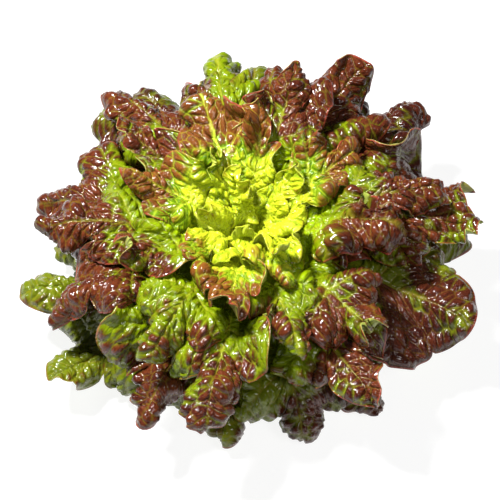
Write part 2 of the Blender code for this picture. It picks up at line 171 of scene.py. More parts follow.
def plan_leaf(number):
    """The leaf of this number, counted from the oldest."""
    draw = random.Random(SEED * 1000 + number)
    age = number / LEAVES_TO_AGE_ONE
    freedom = by_age(FREEDOM_BY_AGE, age)
    lobes = lobes_of(age)
    return Leaf(
        name=f"{ring_of(age)}_leaf_{number + 1:02d}",
        age=age,
        lobes=lobes,
        azimuth=FIRST_AZIMUTH + GOLDEN_ANGLE * number + draw.uniform(-1, 1) * AZIMUTH_SPREAD,
        rise=by_age(RISE_BY_AGE, age),
        length=by_age(LENGTH_BY_AGE, age) * draw.uniform(0.88, 1.06),
        reach=by_age(REACH_BY_AGE, age) * draw.uniform(0.9, 1.1),
        stalk=by_age(STALK_BY_AGE, age),
        arch=by_age(ARCH_BY_AGE, age) * draw.uniform(0.8, 1.2),
        sway=draw.uniform(-0.16, 0.16) * freedom,
        twist=draw.uniform(-26, 26) * freedom,
        fold=draw.uniform(-14, 14),
        puff=draw.uniform(10, 28) * freedom,
        ruffle=draw.uniform(25, 60) * freedom,
        phase=draw.random(),
        notch=draw.uniform(0.42, 0.56),
        curls=tuple(draw_curl(draw, abs(lobe)) * freedom for lobe in range(-lobes - 1, lobes + 2)),
        sizes=tuple(draw.uniform(0.84, 1.14) for _ in range(2 * lobes + 3)),
    )


def plan_leaves():
    """Every leaf of the head, from the oldest to the youngest."""
    leaves = [plan_leaf(number) for number in range(LEAF_COUNT)]
    return [leaf._replace(**OWN_SHAPES.get(place + 1, {})) for place, leaf in enumerate(leaves)]


leaves = plan_leaves()
ring_sizes = {ring: sum(ring_of(leaf.age) == ring for leaf in leaves) for ring in RINGS}
print("leaves in each ring:", ring_sizes)

# %% [markdown]
# ## The outline of a leaf
#
# An oak leaf lettuce leaf has rounded lobes on both sides of its midrib, with narrow notches between
# them. The blade is a fan of rays from the midrib: long in the middle of a lobe and short in a notch.
# Each ray bends up or down on its way out, and that one curve makes the waves, the puffed lobes and the
# rolled edges.


# %% Rays from the midrib
def rays_of(leaf):
    """How many rays a leaf has on each side, out to the notch below its last lobe."""
    return leaf.lobes * RAYS_A_LOBE + RAYS_A_LOBE // 2


def lobe_wave(ray):
    """1 in the middle of each lobe and 0 in the notches, for a ray number from the tip."""
    return abs(math.cos(math.pi * ray / RAYS_A_LOBE)) ** LOBE_ROUNDNESS


def of_lobe(values, ray):
    """The value of the lobe that a ray is in, blended to its neighbour's in the notch between them."""
    place = ray / RAYS_A_LOBE + (len(values) - 1) / 2
    lobe = math.floor(place)
    blend = min(max((place - lobe - 0.5) / NOTCH_BLEND + 0.5, 0), 1)
    return values[lobe] * (1 - blend) + values[min(lobe + 1, len(values) - 1)] * blend


def ray_shape(leaf, ray):
    """Where a ray leaves the midrib, its angle from the tip's direction, its length, and its lobe's."""
    share = abs(ray) / rays_of(leaf)
    start = leaf.length * (STALK_SHARE + MIDRIB_SHARE * (1 - share))
    angle = math.radians(BASE_RAY_ANGLE) * (1 - (1 - share) ** RAY_ANGLE_POWER)
    lengths = [TIP_RAY * leaf.length] + [low * leaf.reach for low in LOW_RAYS]
    peak = float(np.interp(share, RAY_PLACES, lengths)) * of_lobe(leaf.sizes, ray)
    notched = peak * (1 - leaf.notch)
    length = notched + (peak - notched) * lobe_wave(ray)
    return start, math.copysign(angle, ray), max(length, leaf.stalk), peak


def ray_curl(leaf, ray, reached, ease):
    """The angle that a ray has turned through, up from the flat, at shares of its lobe's length."""
    place = ray / RAYS_A_LOBE
    past_rib = np.clip((reached - CURL_FROM) / (1 - CURL_FROM), 0, 1) ** CURL_POWER
    curl = of_lobe(leaf.curls, ray) * past_rib
    ruffle = leaf.ruffle * math.sin(2 * math.pi * (WAVES_A_LOBE * place + leaf.phase)) * reached**2
    puff = 2 * leaf.puff * math.cos(2 * math.pi * place) * reached * (PUFF_END - reached)
    return np.radians(ease * (leaf.fold * (1 - reached) + curl + ruffle + puff))


def run_along(turn, piece):
    """How far a line gets along and across, a piece at a time, with its angle at the end of each."""
    middle = (turn[1:] + turn[:-1]) / 2
    along = np.concatenate([[0], np.cumsum(np.cos(middle))]) * piece
    return along, np.concatenate([[0], np.cumsum(np.sin(middle))]) * piece


def ray_points(leaf, ray, steps, ease):
    """The points of a ray past the midrib: to the side, along the midrib, and up from the flat."""
    start, angle, length, peak = ray_shape(leaf, ray)
    fine = np.linspace(0, 1, BEND_PIECES + 1)
    away, height = run_along(ray_curl(leaf, ray, fine * length / peak, ease), length / BEND_PIECES)
    at = np.linspace(0, 1, steps + 1)[1:] ** STEP_POWER
    away = np.interp(at, fine, away)
    height = np.interp(at, fine, height)
    return np.stack([away * math.sin(angle), start + away * math.cos(angle), height], axis=1).tolist()


def stalk_point(leaf, share, across):
    """A point of the stalk, which ends in a curve that follows the dome of the stem."""
    side = across * leaf.stalk
    along = leaf.length * STALK_SHARE * share - (1 - share) * side**2 / (2 * ROOT_RADIUS)
    return side, along, STALK_CUP * across**2 * (1 - share)


smooth_leaf = leaves[13]
tip_length = ray_shape(smooth_leaf, 0)[2]
print(f"the smooth leaf has {2 * rays_of(smooth_leaf) + 1} rays, the tip one {tip_length:.0f} mm long")

# %% [markdown]
# ## The plain blade
#
# The plain blade has few points, and it is bent clear of the leaves below it, as leaves push each other
# apart while they grow. The same steps run here again, because the finer blade needs to know how far
# each place of the plain one was moved. The movements of a few points are cheap to find and can be
# spread smoothly over many.


# %% The plain blade, laid flat
def split_quad(a, b, c, d, mirrored):
    return [(a, b, d), (b, c, d)] if mirrored else [(a, b, c), (a, c, d)]


def flat_blade(leaf, steps, ease):
    """A blade before it is bent to its place: points, triangles, and points by ray and step."""
    rays = rays_of(leaf)
    points = [(0.0, ray_shape(leaf, ray)[0], 0.0) for ray in range(rays + 1)]
    grid = {}
    for ray in range(-rays, rays + 1):
        grid[ray, 0] = abs(ray)
        for step, point in enumerate(ray_points(leaf, ray, steps, ease)):
            grid[ray, step + 1] = len(points)
            points.append(point)
    triangles = []
    for ray in range(-rays, rays):
        for step in range(steps):
            places = ((ray, step), (ray + 1, step), (ray + 1, step + 1), (ray, step + 1))
            triangles += split_quad(*[grid[place] for place in places], ray < 0)
    return points, triangles, grid


def flat_leaf(leaf, steps, rows, ease):
    """A plain leaf before it is bent to its place: points, triangles, blade grid and stalk rows."""
    points, triangles, grid = flat_blade(leaf, steps, ease)
    rays = rays_of(leaf)
    columns = range(-steps, steps + 1)
    above = [grid[int(math.copysign(rays, column)), abs(column)] for column in columns]
    stalk_rows = [above]
    for row in range(rows - 1, -1, -1):
        below = []
        for column in columns:
            below.append(len(points))
            points.append(stalk_point(leaf, row / rows, column / steps))
        for left in range(2 * steps):
            right = left + 1
            triangles += split_quad(below[left], below[right], above[right], above[left], left >= steps)
        above = below
        stalk_rows.append(above)
    return np.array(points), np.array(triangles), grid, stalk_rows[::-1]


# %% Bent to its place round the stem
def midrib_of(leaf, along):
    """The midrib's distance from the axis, its height and its slope, at distances along it."""
    share = np.linspace(0, MIDRIB_END, MIDRIB_PIECES + 1)
    slopes = np.radians(leaf.rise - leaf.arch * share**ARCH_POWER)
    out, up = run_along(slopes, share[1] * leaf.length)
    place = along / leaf.length
    from_centre = ROOT_RADIUS + np.minimum(along, 0)
    out = np.interp(place, share, out) + from_centre * math.cos(slopes[0])
    up = np.interp(place, share, up) + from_centre * math.sin(slopes[0]) + STEM_CENTRE_HEIGHT
    return out, up, np.interp(place, share, slopes)


def bend_to_place(leaf, flat):
    """The points of a flat leaf in the head, and the direction that is up for each of them."""
    side, along, height = flat.T
    out, up, slope = midrib_of(leaf, along)
    place = np.clip(along / leaf.length, 0, MIDRIB_END)
    azimuth = math.radians(leaf.azimuth)
    outward = np.array([math.cos(azimuth), math.sin(azimuth), 0])
    sideways = np.array([-math.sin(azimuth), math.cos(azimuth), 0])
    vertical = np.array([0, 0, 1])
    level = -np.sin(slope)[:, None] * outward + np.cos(slope)[:, None] * vertical
    twist = math.radians(leaf.twist) * place**1.5
    across = np.cos(twist)[:, None] * sideways + np.sin(twist)[:, None] * level
    face = np.cos(twist)[:, None] * level - np.sin(twist)[:, None] * sideways

    cone = np.sin(slope) / np.maximum(out, 1)
    eased = np.clip(place / WRAP_EASED_FROM, 0, 1)
    cup = cone / (1 + eased * np.maximum(cone, 0) * leaf.reach / MOST_WRAP)
    cup = np.where(np.abs(cup) < 1e-6, 1e-6, cup)
    wrap = np.clip(side * cup, -WRAP_LIMIT, WRAP_LIMIT)
    ups = np.cos(wrap)[:, None] * face - np.sin(wrap)[:, None] * across
    points = out[:, None] * outward + up[:, None] * vertical
    points += (np.sin(wrap) / cup)[:, None] * across + ((1 - np.cos(wrap)) / cup)[:, None] * face
    points += height[:, None] * ups + (leaf.sway * leaf.length * place**2)[:, None] * sideways
    return points, ups


def thickness_of(leaf, flat):
    """The plain blade's thickness at each point: fuller along the midrib, most of all at the stalk."""
    side, along, _ = flat.T
    rib = np.exp(-((side / RIB_HALF_WIDTH) ** 2)) * np.clip(1 - along / leaf.length, 0, 1)
    return BLADE_THICKNESS + RIB_THICKNESS * (1 - leaf.age) * rib


# %% Closed plain blades
def point_normals(points, triangles):
    corners = points[triangles]
    faces = np.cross(corners[:, 1] - corners[:, 0], corners[:, 2] - corners[:, 0])
    normals = np.zeros_like(points)
    for corner in range(3):
        np.add.at(normals, triangles[:, corner], faces)
    return normals / np.maximum(np.linalg.norm(normals, axis=1, keepdims=True), 1e-9)


def rim_edges(triangles):
    """The edges that only one triangle has, each in its triangle's direction."""
    edges = {(corners[i], corners[(i + 1) % 3]) for corners in triangles.tolist() for i in range(3)}
    return sorted(edge for edge in edges if edge[::-1] not in edges)


def thicken(points, triangles, thickness):
    """A closed blade round a surface, split into triangles alike on both faces."""
    offset = point_normals(points, triangles) * thickness[:, None] / 2
    count = len(points)
    faces = triangles.tolist() + [(c + count, b + count, a + count) for a, b, c in triangles.tolist()]
    for start, end in rim_edges(triangles):
        faces += [(end, start, start + count), (end, start + count, end + count)]
    return np.concatenate([points + offset, points - offset]), faces


def tree_of(vertices, faces):
    return BVHTree.FromPolygons([Vector(vertex) for vertex in vertices], faces, epsilon=0.0)


# %% Plain blades bent clear of each other
def sample_points(points, ups, triangles):
    """Points all over the surface, what is up there, and the corners each one stands for."""
    shares = np.array([(1, 1, 1), (1, 1, 0), (0, 1, 1), (1, 0, 1)], float)
    shares /= shares.sum(axis=1, keepdims=True)
    where = [points] + [np.tensordot(points[triangles], share, (1, 0)) for share in shares]
    up = [ups] + [np.tensordot(ups[triangles], share, (1, 0)) for share in shares]
    corners = [np.repeat(np.arange(len(points))[:, None], 3, axis=1)] + [triangles] * len(shares)
    return np.concatenate(where), np.concatenate(up), np.concatenate(corners)


def needed_lift(where, up, half, tree):
    """How far a point has to move up to stand clear of what lies over or just under it."""
    need = (TABLE_CLEARANCE + half - where[2]) / max(up[2], LEAST_UPRIGHT)
    if tree:
        reach = min(MOST_REACH, max(LEAST_REACH, REACH_SHARE * math.hypot(where[0], where[1])))
        hit = tree.ray_cast(Vector(where + up * reach), Vector(-up), reach + half + CLEAR_GAP)
        if hit[0] is not None:
            need = max(need, reach - hit[3] + half + CLEAR_GAP)
    return max(need, 0.0)


def neighbours_of(count, triangles):
    neighbours = [set() for _ in range(count)]
    for a, b, c in triangles.tolist():
        neighbours[a] |= {b, c}
        neighbours[b] |= {a, c}
        neighbours[c] |= {a, b}
    return neighbours


def pin_to_stem(points, root):
    """Slides the end of the stalk back onto its place round the dome of the stem."""
    centre = np.array([0, 0, STEM_CENTRE_HEIGHT])
    away = points[root] - centre
    points[root] = centre + away * (ROOT_RADIUS / np.linalg.norm(away, axis=1))[:, None]


def bend_clear(points, ups, triangles, thickness, root, tree):
    """Raises a leaf, along its own up directions, until it clears the leaves below and the table."""
    neighbours = neighbours_of(len(points), triangles)
    total = np.zeros(len(points))
    for turn in range(CLEAR_ROUNDS):
        where, up, corners = sample_points(points, ups, triangles)
        half = thickness[corners].max(axis=1) / 2
        lift = np.zeros(len(points))
        for index in range(len(where)):
            need = needed_lift(where[index], up[index], half[index], tree)
            lift[corners[index]] = np.maximum(lift[corners[index]], need)
        if lift.max() < 1e-3:
            break
        if turn < SPREAD_ROUNDS:
            for _ in range(2):
                nearby = [SPREAD_SHARE * max(lift[n] for n in near) for near in neighbours]
                lift = np.maximum(lift, nearby)
        lift = np.minimum(lift, MOST_LIFT - total)
        points = points + ups * lift[:, None]
        pin_to_stem(points, root)
        total += lift
    return points


def part_crossings(points, ups, triangles, thickness, root, tree):
    """Raises the corners of the last triangles that still cross a leaf below, a little at a time."""
    count = len(points)
    crossed = set()
    for _ in range(PART_ROUNDS):
        near, faces = thicken(points, triangles, thickness + 2 * TEST_GAP)
        crossed = {pair[0] for pair in tree_of(near, faces).overlap(tree)}
        if not crossed:
            break
        moved = sorted({corner % count for face in crossed for corner in faces[face]})
        points[moved] += ups[moved] * PART_STEP
        pin_to_stem(points, root)
    return points, len(crossed)


def self_crossings(vertices, faces):
    """How many pairs of a blade's triangles cross each other without sharing a corner."""
    tree = tree_of(vertices, faces)
    return sum(1 for a, b in tree.overlap(tree) if a < b and not set(faces[a]) & set(faces[b]))


# moved: how far each point was pushed by the leaves below
PlainBlade = namedtuple("PlainBlade", "leaf ease moved grid stalk_rows")


def grow_plain_blade(leaf, tree):
    ease = 1.0
    for _ in range(EASE_ROUNDS):
        flat, triangles, grid, stalk_rows = flat_leaf(leaf, RAY_STEPS, STALK_ROWS, ease)
        first, ups = bend_to_place(leaf, flat)
        thickness = thickness_of(leaf, flat)
        points = bend_clear(first.copy(), ups, triangles, thickness, stalk_rows[0], tree)
        crossed = 0
        if tree:
            points, crossed = part_crossings(points, ups, triangles, thickness, stalk_rows[0], tree)
        vertices, faces = thicken(points, triangles, thickness)
        if crossed + self_crossings(vertices, faces) == 0:
            break
        ease *= EASE_STEP
        leaf = leaf._replace(reach=leaf.reach * NARROWER_STEP)
    return PlainBlade(leaf, ease, points - first, grid, stalk_rows), vertices, faces


def grow_plain_head():
    blades = []
    all_vertices, all_faces = [], []
    for leaf in leaves:
        tree = tree_of(all_vertices, all_faces) if blades else None
        blade, vertices, faces = grow_plain_blade(leaf, tree)
        base = len(all_vertices)
        all_vertices += vertices.tolist()
        all_faces += [tuple(corner + base for corner in face) for face in faces]
        blades.append(blade)
    return blades


plain_blades = grow_plain_head()
print("most that a leaf was pushed up:", f"{max(np.abs(b.moved).max() for b in plain_blades):.1f} mm")

# %% [markdown]
# ## A finer skin
#
# The fine blade has the same rays with eleven more between each two, and eight to ten times the steps
# along them, so that a point lies every millimetre or two. The way each plain point was moved is
# spread over the fine points with smooth curves. The alternative is a Subdivision Surface modifier on
# the plain blade, but it would round the lobes off and shrink the leaf.

# %% Drawing values out over a finer grid
FINE_RAYS, FINE_STEPS, FINE_STALK_ROWS = 12, (30, 30, 24), 12


def smooth_weights(count, pieces):
    """Weights that draw a smooth curve through evenly spaced values, with pieces between each two."""
    at = np.linspace(0, count - 1, (count - 1) * pieces + 1)
    low = np.minimum(at.astype(int), count - 2)
    t = at - low
    weights = np.zeros((len(at), count))
    shares = [-(t**3) + 2 * t**2 - t, 3 * t**3 - 5 * t**2 + 2, -3 * t**3 + 4 * t**2 + t, t**3 - t**2]
    for offset, share in zip((-1, 0, 1, 2), shares):
        np.add.at(weights, (np.arange(len(at)), np.clip(low + offset, 0, count - 1)), share / 2)
    return weights


def drawn_out(values, count):
    """Values along the first axis, on straight lines between them, at this many even places."""
    at = np.linspace(0, len(values) - 1, count)
    low = np.minimum(at.astype(int), len(values) - 2)
    share = (at - low).reshape(-1, *[1] * (values.ndim - 1))
    return values[low] * (1 - share) + values[low + 1] * share


def steadied(values, axis):
    """Values with each one drawn towards its neighbours along an axis."""
    values = np.moveaxis(values, axis, 0)
    padded = np.concatenate([values[:1], values, values[-1:]])
    return np.moveaxis(values / 2 + (padded[:-2] + padded[2:]) / 4, 0, axis)


def lowest_row(blade):
    """The two lowest rays of a blade as one row, from the left margin to the right one."""
    return np.concatenate([blade[0][:0:-1], blade[-1]])


# %% The fine skin of one leaf
# two grids, the blade by ray and step and the stalk by row and column
Skin = namedtuple("Skin", "leaf rays blade blade_flat stalk stalk_flat blade_ups stalk_ups")


def fine_blade(leaf, rays, steps, ease):
    """The blade's points, bent only by its waves, and the same points laid flat."""
    reached = np.linspace(0, 1, steps + 1) ** STEP_POWER
    shaped, flat = [], []
    for ray in rays:
        start, angle, length, _ = ray_shape(leaf, ray)
        shaped.append([(0, start, 0)] + ray_points(leaf, ray, steps, ease))
        spread = reached * length
        flat.append(np.stack([spread * math.sin(angle), start + spread * math.cos(angle)], axis=1))
    return np.array(shaped), np.array(flat)


def fine_stalk(leaf, shaped, flat):
    """The stalk's points, which blend into the lowest row of the blade, and the same laid flat."""
    steps = shaped.shape[1] - 1
    stalk, stalk_flat = [], []
    for share in np.linspace(0, 1, FINE_STALK_ROWS + 1):
        row = np.array([stalk_point(leaf, share, place) for place in np.linspace(-1, 1, 2 * steps + 1)])
        blend = np.clip(2 * share - 1, 0, 1)
        blend = blend**2 * (3 - 2 * blend)
        stalk.append(row * (1 - blend) + lowest_row(shaped) * blend)
        stalk_flat.append(row[:, :2] * (1 - blend) + lowest_row(flat) * blend)
    return np.array(stalk), np.array(stalk_flat)


def fine_pushes(plain, steps):
    """How far the leaves below push each fine point, spread from the plain blade's points."""
    rays = rays_of(plain.leaf)
    places = [[(ray, step) for step in range(RAY_STEPS + 1)] for ray in range(-rays, rays + 1)]
    pushes = plain.moved[[[plain.grid[place] for place in row] for row in places]]
    pushes = steadied(steadied(pushes, 0), 1)
    along_rays = smooth_weights(RAY_STEPS + 1, steps // RAY_STEPS)
    pushes = np.einsum("ar,rsk,bs->abk", smooth_weights(2 * rays + 1, FINE_RAYS), pushes, along_rays)
    pushes[:, 0] = (pushes[:, 0] + pushes[::-1, 0]) / 2
    rows = plain.moved[np.array(plain.stalk_rows)]
    rows = np.einsum("rck,bc->rbk", rows, smooth_weights(2 * RAY_STEPS + 1, steps // RAY_STEPS))
    rows[-1] = lowest_row(pushes)
    return pushes, drawn_out(rows, FINE_STALK_ROWS + 1)


def fine_skin(plain):
    """The fine skin of a leaf, bent to its place and moved as its plain blade was."""
    leaf, steps, rays = plain.leaf, of_ring(FINE_STEPS, plain.leaf), rays_of(plain.leaf)
    ray_numbers = np.linspace(-rays, rays, 2 * rays * FINE_RAYS + 1)
    shaped, flat = fine_blade(leaf, ray_numbers, steps, plain.ease)
    stalk, stalk_flat = fine_stalk(leaf, shaped, flat)
    pushes, stalk_pushes = fine_pushes(plain, steps)
    blade, ups = (part.reshape(shaped.shape) for part in bend_to_place(leaf, shaped.reshape(-1, 3)))
    rows, row_ups = (part.reshape(stalk.shape) for part in bend_to_place(leaf, stalk.reshape(-1, 3)))
    return Skin(leaf, ray_numbers, blade + pushes, flat, rows + stalk_pushes, stalk_flat, ups, row_ups)


skins = [fine_skin(plain) for plain in plain_blades]
print("points in the fine skins:", sum(skin.blade.shape[0] * skin.blade.shape[1] for skin in skins))

# %% [markdown]
# ## Where the points go
#
# A leaf's points are numbered once: the midrib, then the rays, then the rows of the stalk. The upper
# skin uses them all. The lower skin uses every second one both ways, because it is smoother, and a band
# of triangles joins the two round the edge, so that the leaf is one closed body.


# %% Numbering the points
def mirrored_left(corners):
    """The quads' corners, started one later on the left half, so that both halves split alike."""
    half = len(corners) // 2
    return np.concatenate([np.roll(corners[:half], -1, axis=2), corners[half:]])


def quad_corners(grid, is_blade):
    """The values at the four corners of each quad of a grid, round the other way for a blade."""
    a, b, c, d = grid[:-1, :-1], grid[1:, :-1], grid[1:, 1:], grid[:-1, 1:]
    return mirrored_left(np.stack([a, d, c, b], axis=2)) if is_blade else np.stack([a, b, c, d], axis=2)


class Layout:
    """Point numbers of a leaf's upper skin by ray and step and by stalk row and column."""

    def __init__(self, skin):
        rays, steps = skin.blade.shape[0], skin.blade.shape[1] - 1
        rows = skin.stalk.shape[0]
        self.middle = rays // 2
        self.blade = np.zeros((rays, steps + 1), int)
        self.blade[:, 0] = np.abs(np.arange(rays) - self.middle)
        self.blade[:, 1:] = self.middle + 1 + np.arange(rays * steps).reshape(rays, steps)
        first = self.middle + 1 + rays * steps
        self.stalk = np.zeros((rows, 2 * steps + 1), int)
        self.stalk[:-1] = first + np.arange((rows - 1) * (2 * steps + 1)).reshape(rows - 1, -1)
        self.stalk[-1] = lowest_row(self.blade)
        self.count = first + (rows - 1) * (2 * steps + 1)

    def gather(self, blade, stalk):
        """One row of values for each point, from values by ray and step and by row and column."""
        values = np.zeros((self.count,) + blade.shape[2:])
        values[self.stalk] = stalk
        values[self.blade] = blade
        return values

    def quads(self, every=1):
        """The four corners of each quad, using every nth ray, row, step and column."""
        blade = quad_corners(self.blade[::every, ::every], True)
        stalk = quad_corners(self.stalk[::every, ::every], False)
        return np.concatenate([blade.reshape(-1, 4), stalk.reshape(-1, 4)])

    def rim(self):
        """The points round the edge, in the quads' direction, from the first one of the root."""
        root, right, left = self.stalk[0], self.stalk[1:, -1], self.stalk[1:-1, 0]
        return np.concatenate([root[:1], left, self.blade[:, -1], right[-2::-1], root[:0:-1]])


layouts = [Layout(skin) for skin in skins]
print("points on one leaf's upper skin:", layouts[0].count)


# %% Directions across the skin
def quad_normals(points, quads):
    """The direction out of the skin at each point."""
    a, b, c, d = (points[quads[:, corner]] for corner in range(4))
    faces = np.cross(c - a, d - b)
    normals = np.zeros_like(points)
    for corner in range(4):
        for axis in range(3):
            normals[:, axis] += np.bincount(quads[:, corner], faces[:, axis], len(points))
    return normals / np.maximum(np.linalg.norm(normals, axis=1, keepdims=True), 1e-9)


# %% [markdown]
# ## Crumples and frills
#
# Between the big waves a lettuce leaf is crumpled, and its margin is frilled, because the edge grows
# longer than the blade it hems. Both are smooth random waves in the leaf's own flat measure, pushed out
# along the skin. Waves drawn from a seeded generator come out the same on every run.

# %% Smooth random waves
WAVE_COUNT, WAVE_SIZES, WAVE_HEIGHT = 14, (0.75, 1.5), 1.6
PATCH_SEED, FRILL_SEED, BLISTER_SEED, WANDER_SEED = 300, 500, 700, 900


def rough_waves(flat, size, seed):
    """Smooth random heights, about -1 to 1, with bumps of this size."""
    draw = np.random.default_rng(seed)
    angle = draw.uniform(0, 2 * math.pi, WAVE_COUNT)
    speed = 2 * math.pi / (size * draw.uniform(*WAVE_SIZES, WAVE_COUNT))
    phase = draw.uniform(0, 2 * math.pi, WAVE_COUNT)
    waves = flat[..., :1] * (speed * np.cos(angle)) + flat[..., 1:2] * (speed * np.sin(angle)) + phase
    return np.sin(waves).sum(axis=-1) * math.sqrt(2 / WAVE_COUNT) / WAVE_HEIGHT


def soft_step(value, low, high):
    share = np.clip((value - low) / (high - low), 0, 1)
    return share**2 * (3 - 2 * share)


# %% Crumples and frills of one leaf, with values for each ring
CRUMPLE, CRUMPLE_SIZE = (2.4, 3.0, 3.8), (28.0, 24.0, 19.0)
FRILL, FRILL_LENGTH, FRILL_DEPTH = (3.4, 4.2, 3.2), (36.0, 31.0, 26.0), 10.0
FRILL_WANDER, WANDER_SIZE, FRILL_CHANGE_SIZE = 1.4, 30, 40
PILLOW = (3.2, 3.6, 2.0)
RIM_ROLL, RIM_WIDTH = (1.4, 1.4, 0.4), 3.6
FIRM_UNTIL, LOOSE_FROM = 3, 20
MIDRIB_TOP = STALK_SHARE + MIDRIB_SHARE


def margin_distance(skin):
    """How far each point of the blade is from the margin, along its ray."""
    ends = skin.blade_flat[:, -1:]
    return np.linalg.norm(skin.blade_flat - ends, axis=2)


def margin_run(skin):
    """How far round the margin each ray ends."""
    pieces = np.linalg.norm(np.diff(skin.blade_flat[:, -1], axis=0), axis=1)
    return np.concatenate([[0], np.cumsum(pieces)])


def crumple(skin, number):
    """How far each point of the blade stands out."""
    leaf, flat = skin.leaf, skin.blade_flat
    from_rib = np.abs(flat[..., 0]) + np.maximum(flat[..., 1] - leaf.length * MIDRIB_TOP, 0)
    loose = soft_step(from_rib, FIRM_UNTIL, LOOSE_FROM)
    heights = of_ring(CRUMPLE, leaf) * rough_waves(flat, of_ring(CRUMPLE_SIZE, leaf), number) * loose
    from_lobe = skin.rays / RAYS_A_LOBE - np.round(skin.rays / RAYS_A_LOBE)
    heights += of_ring(PILLOW, leaf) * (np.cos(math.pi * from_lobe) - 0.5)[:, None] * loose
    heights -= of_ring(RIM_ROLL, leaf) * np.exp(-((margin_distance(skin) / RIM_WIDTH) ** 2))
    edge = np.exp(-margin_distance(skin) / FRILL_DEPTH)
    wander = rough_waves(flat[:, -1], WANDER_SIZE, WANDER_SEED + number) * FRILL_WANDER
    strength = 0.6 + 0.6 * np.abs(rough_waves(flat[:, -1], FRILL_CHANGE_SIZE, FRILL_SEED + number))
    turns = 2 * math.pi * margin_run(skin) / of_ring(FRILL_LENGTH, leaf) + wander * 2
    return heights + (of_ring(FRILL, leaf) * strength * np.sin(turns))[:, None] * edge


def shift_out(skin, layout, number):
    heights = layout.gather(crumple(skin, number), np.zeros(skin.stalk.shape[:2]))
    points = layout.gather(skin.blade, skin.stalk)
    return points + quad_normals(points, layout.quads()) * heights[:, None]


# %% [markdown]
# ## Room between fine leaves
#
# The crumples bring some places of a leaf into the one below. Each leaf is checked against all the
# older ones with rays that look down onto it, on every second point, and raised where it is too close.
# The raise is spread and smoothed before it is used, so no dent shows.

# %% Keeping the fine leaves apart
FINE_GAP, FINE_LOOK, FINE_ROUNDS, TABLE_GAP = 1.3, 7.0, 3, 0.5
LEAST_LIFT, ROOT_POWER = 0.05, 4


def around(grid):
    """The three by three values round each place of a grid."""
    padded = np.pad(grid, 1, mode="edge")
    rows, columns = grid.shape
    return [padded[r : r + rows, c : c + columns] for r in range(3) for c in range(3)]


def spread_and_smooth(lift):
    """The largest lift nearby, smoothed, on a grid."""
    return np.maximum(np.mean(around(np.max(around(lift), axis=0)), axis=0), lift)


def lift_needed(point, up, tree):
    need = max(TABLE_GAP - point[2], 0) / max(up[2], LEAST_UPRIGHT)
    if tree:
        hit = tree.ray_cast(Vector(point + up * FINE_LOOK), Vector(-up), FINE_LOOK + FINE_GAP)
        if hit[0] is not None:
            need = max(need, FINE_LOOK - hit[3] + FINE_GAP)
    return need


def grid_lift(points, ups, grid, tree):
    """The lift for a grid of points, found at every second row and column and drawn out to all."""
    some = grid[::2, ::2]
    need = [lift_needed(points[index], ups[index], tree) for index in some.ravel()]
    need = spread_and_smooth(np.array(need).reshape(some.shape))
    return drawn_out(drawn_out(need.T, grid.shape[1]).T, grid.shape[0])


def raise_clear(points, ups, layout, tree):
    """The points of a leaf's skin, raised clear of the older leaves."""
    for _ in range(FINE_ROUNDS):
        blade, stalk = (grid_lift(points, ups, grid, tree) for grid in (layout.blade, layout.stalk))
        blade[:, 0] = (blade[:, 0] + blade[::-1, 0]) / 2
        fade = np.linspace(0, 1, len(stalk))[:, None]
        stalk = stalk * fade * (1 - fade**ROOT_POWER) + lowest_row(blade) * fade**ROOT_POWER
        lift = layout.gather(blade, stalk)
        if lift.max() < LEAST_LIFT:
            break
        points = points + ups * lift[:, None]
    return points


def settle_tip(points, layout):
    """The points, with the midrib's last one halfway between the ones before and after it."""
    before, last = layout.blade[layout.middle - 1 : layout.middle + 1, 0]
    after = layout.blade[layout.middle, 1]
    points[last] = (points[before] + points[after]) / 2
    return points


def place_skins():
    """The middle of each leaf's skin in its place, from the oldest leaf to the youngest."""
    placed = []
    below, below_faces = [], []
    for number, (skin, layout) in enumerate(zip(skins, layouts)):
        points = shift_out(skin, layout, number)
        tree = tree_of(below, below_faces) if placed else None
        ups = layout.gather(skin.blade_ups, skin.stalk_ups)
        points = settle_tip(raise_clear(points, ups, layout, tree), layout)
        base = len(below)
        below += points.tolist()
        below_faces += (layout.quads(2) + base).tolist()
        placed.append(points)
    return placed


placed_skins = place_skins()
print("highest point:", f"{max(points[:, 2].max() for points in placed_skins):.1f} mm")

# %% [markdown]
# ## The veins' own measure
#
# A vein runs from the midrib into each lobe, and finer ones fork off it. Each place on the blade gets
# two measures: how far it is along its lobe's vein, and how far to the side of it. From these comes the
# net, a slanted and stretched measure in which the blisters between the fine veins are about one unit
# across. They go into UV maps, so that the shape and the colours use one and the same net.

# %% Measures for each quad
NET_LENGTH, NET_WIDTH, NET_SLANT = (9.0, 8.0, 6.6), (6.2, 5.6, 5.2), 0.55
LEAF_OFFSET, LOBE_OFFSET, SIDE_OFFSETS, NET_START = 31.0, 7.31, (3.17, 11.7), 0.13
STALK_LOBE = 9


def vein_axes(leaf, rays):
    """For rays in a lobe: where its vein starts on the midrib, its direction, and the lobe's number."""
    lobes = np.clip(np.round(rays / RAYS_A_LOBE), -leaf.lobes, leaf.lobes)
    shapes = [ray_shape(leaf, lobe * RAYS_A_LOBE) for lobe in lobes]
    start = np.array([shape[0] for shape in shapes])
    angle = np.array([shape[1] for shape in shapes])
    return lobes, start, angle


def vein_measures(flat, start, angle):
    """How far along a lobe's vein each flat place is, and how far to its side."""
    x, y = flat[..., 0], flat[..., 1] - start
    along = x * np.sin(angle) + y * np.cos(angle)
    aside = x * np.cos(angle) - y * np.sin(angle)
    return along, aside


def net_measures(leaf, number, along, aside, lobes, side):
    """The place in the net of blisters, which is new for each side of each lobe."""
    v = np.abs(aside) / of_ring(NET_LENGTH, leaf) + NET_START
    u = (along - NET_SLANT * np.abs(aside)) / of_ring(NET_WIDTH, leaf)
    shift = LOBE_OFFSET * (lobes + 4) + SIDE_OFFSETS[0] * (side > 0) + LEAF_OFFSET * number
    return np.stack([u + shift, v + SIDE_OFFSETS[1] * (side > 0)], axis=-1)


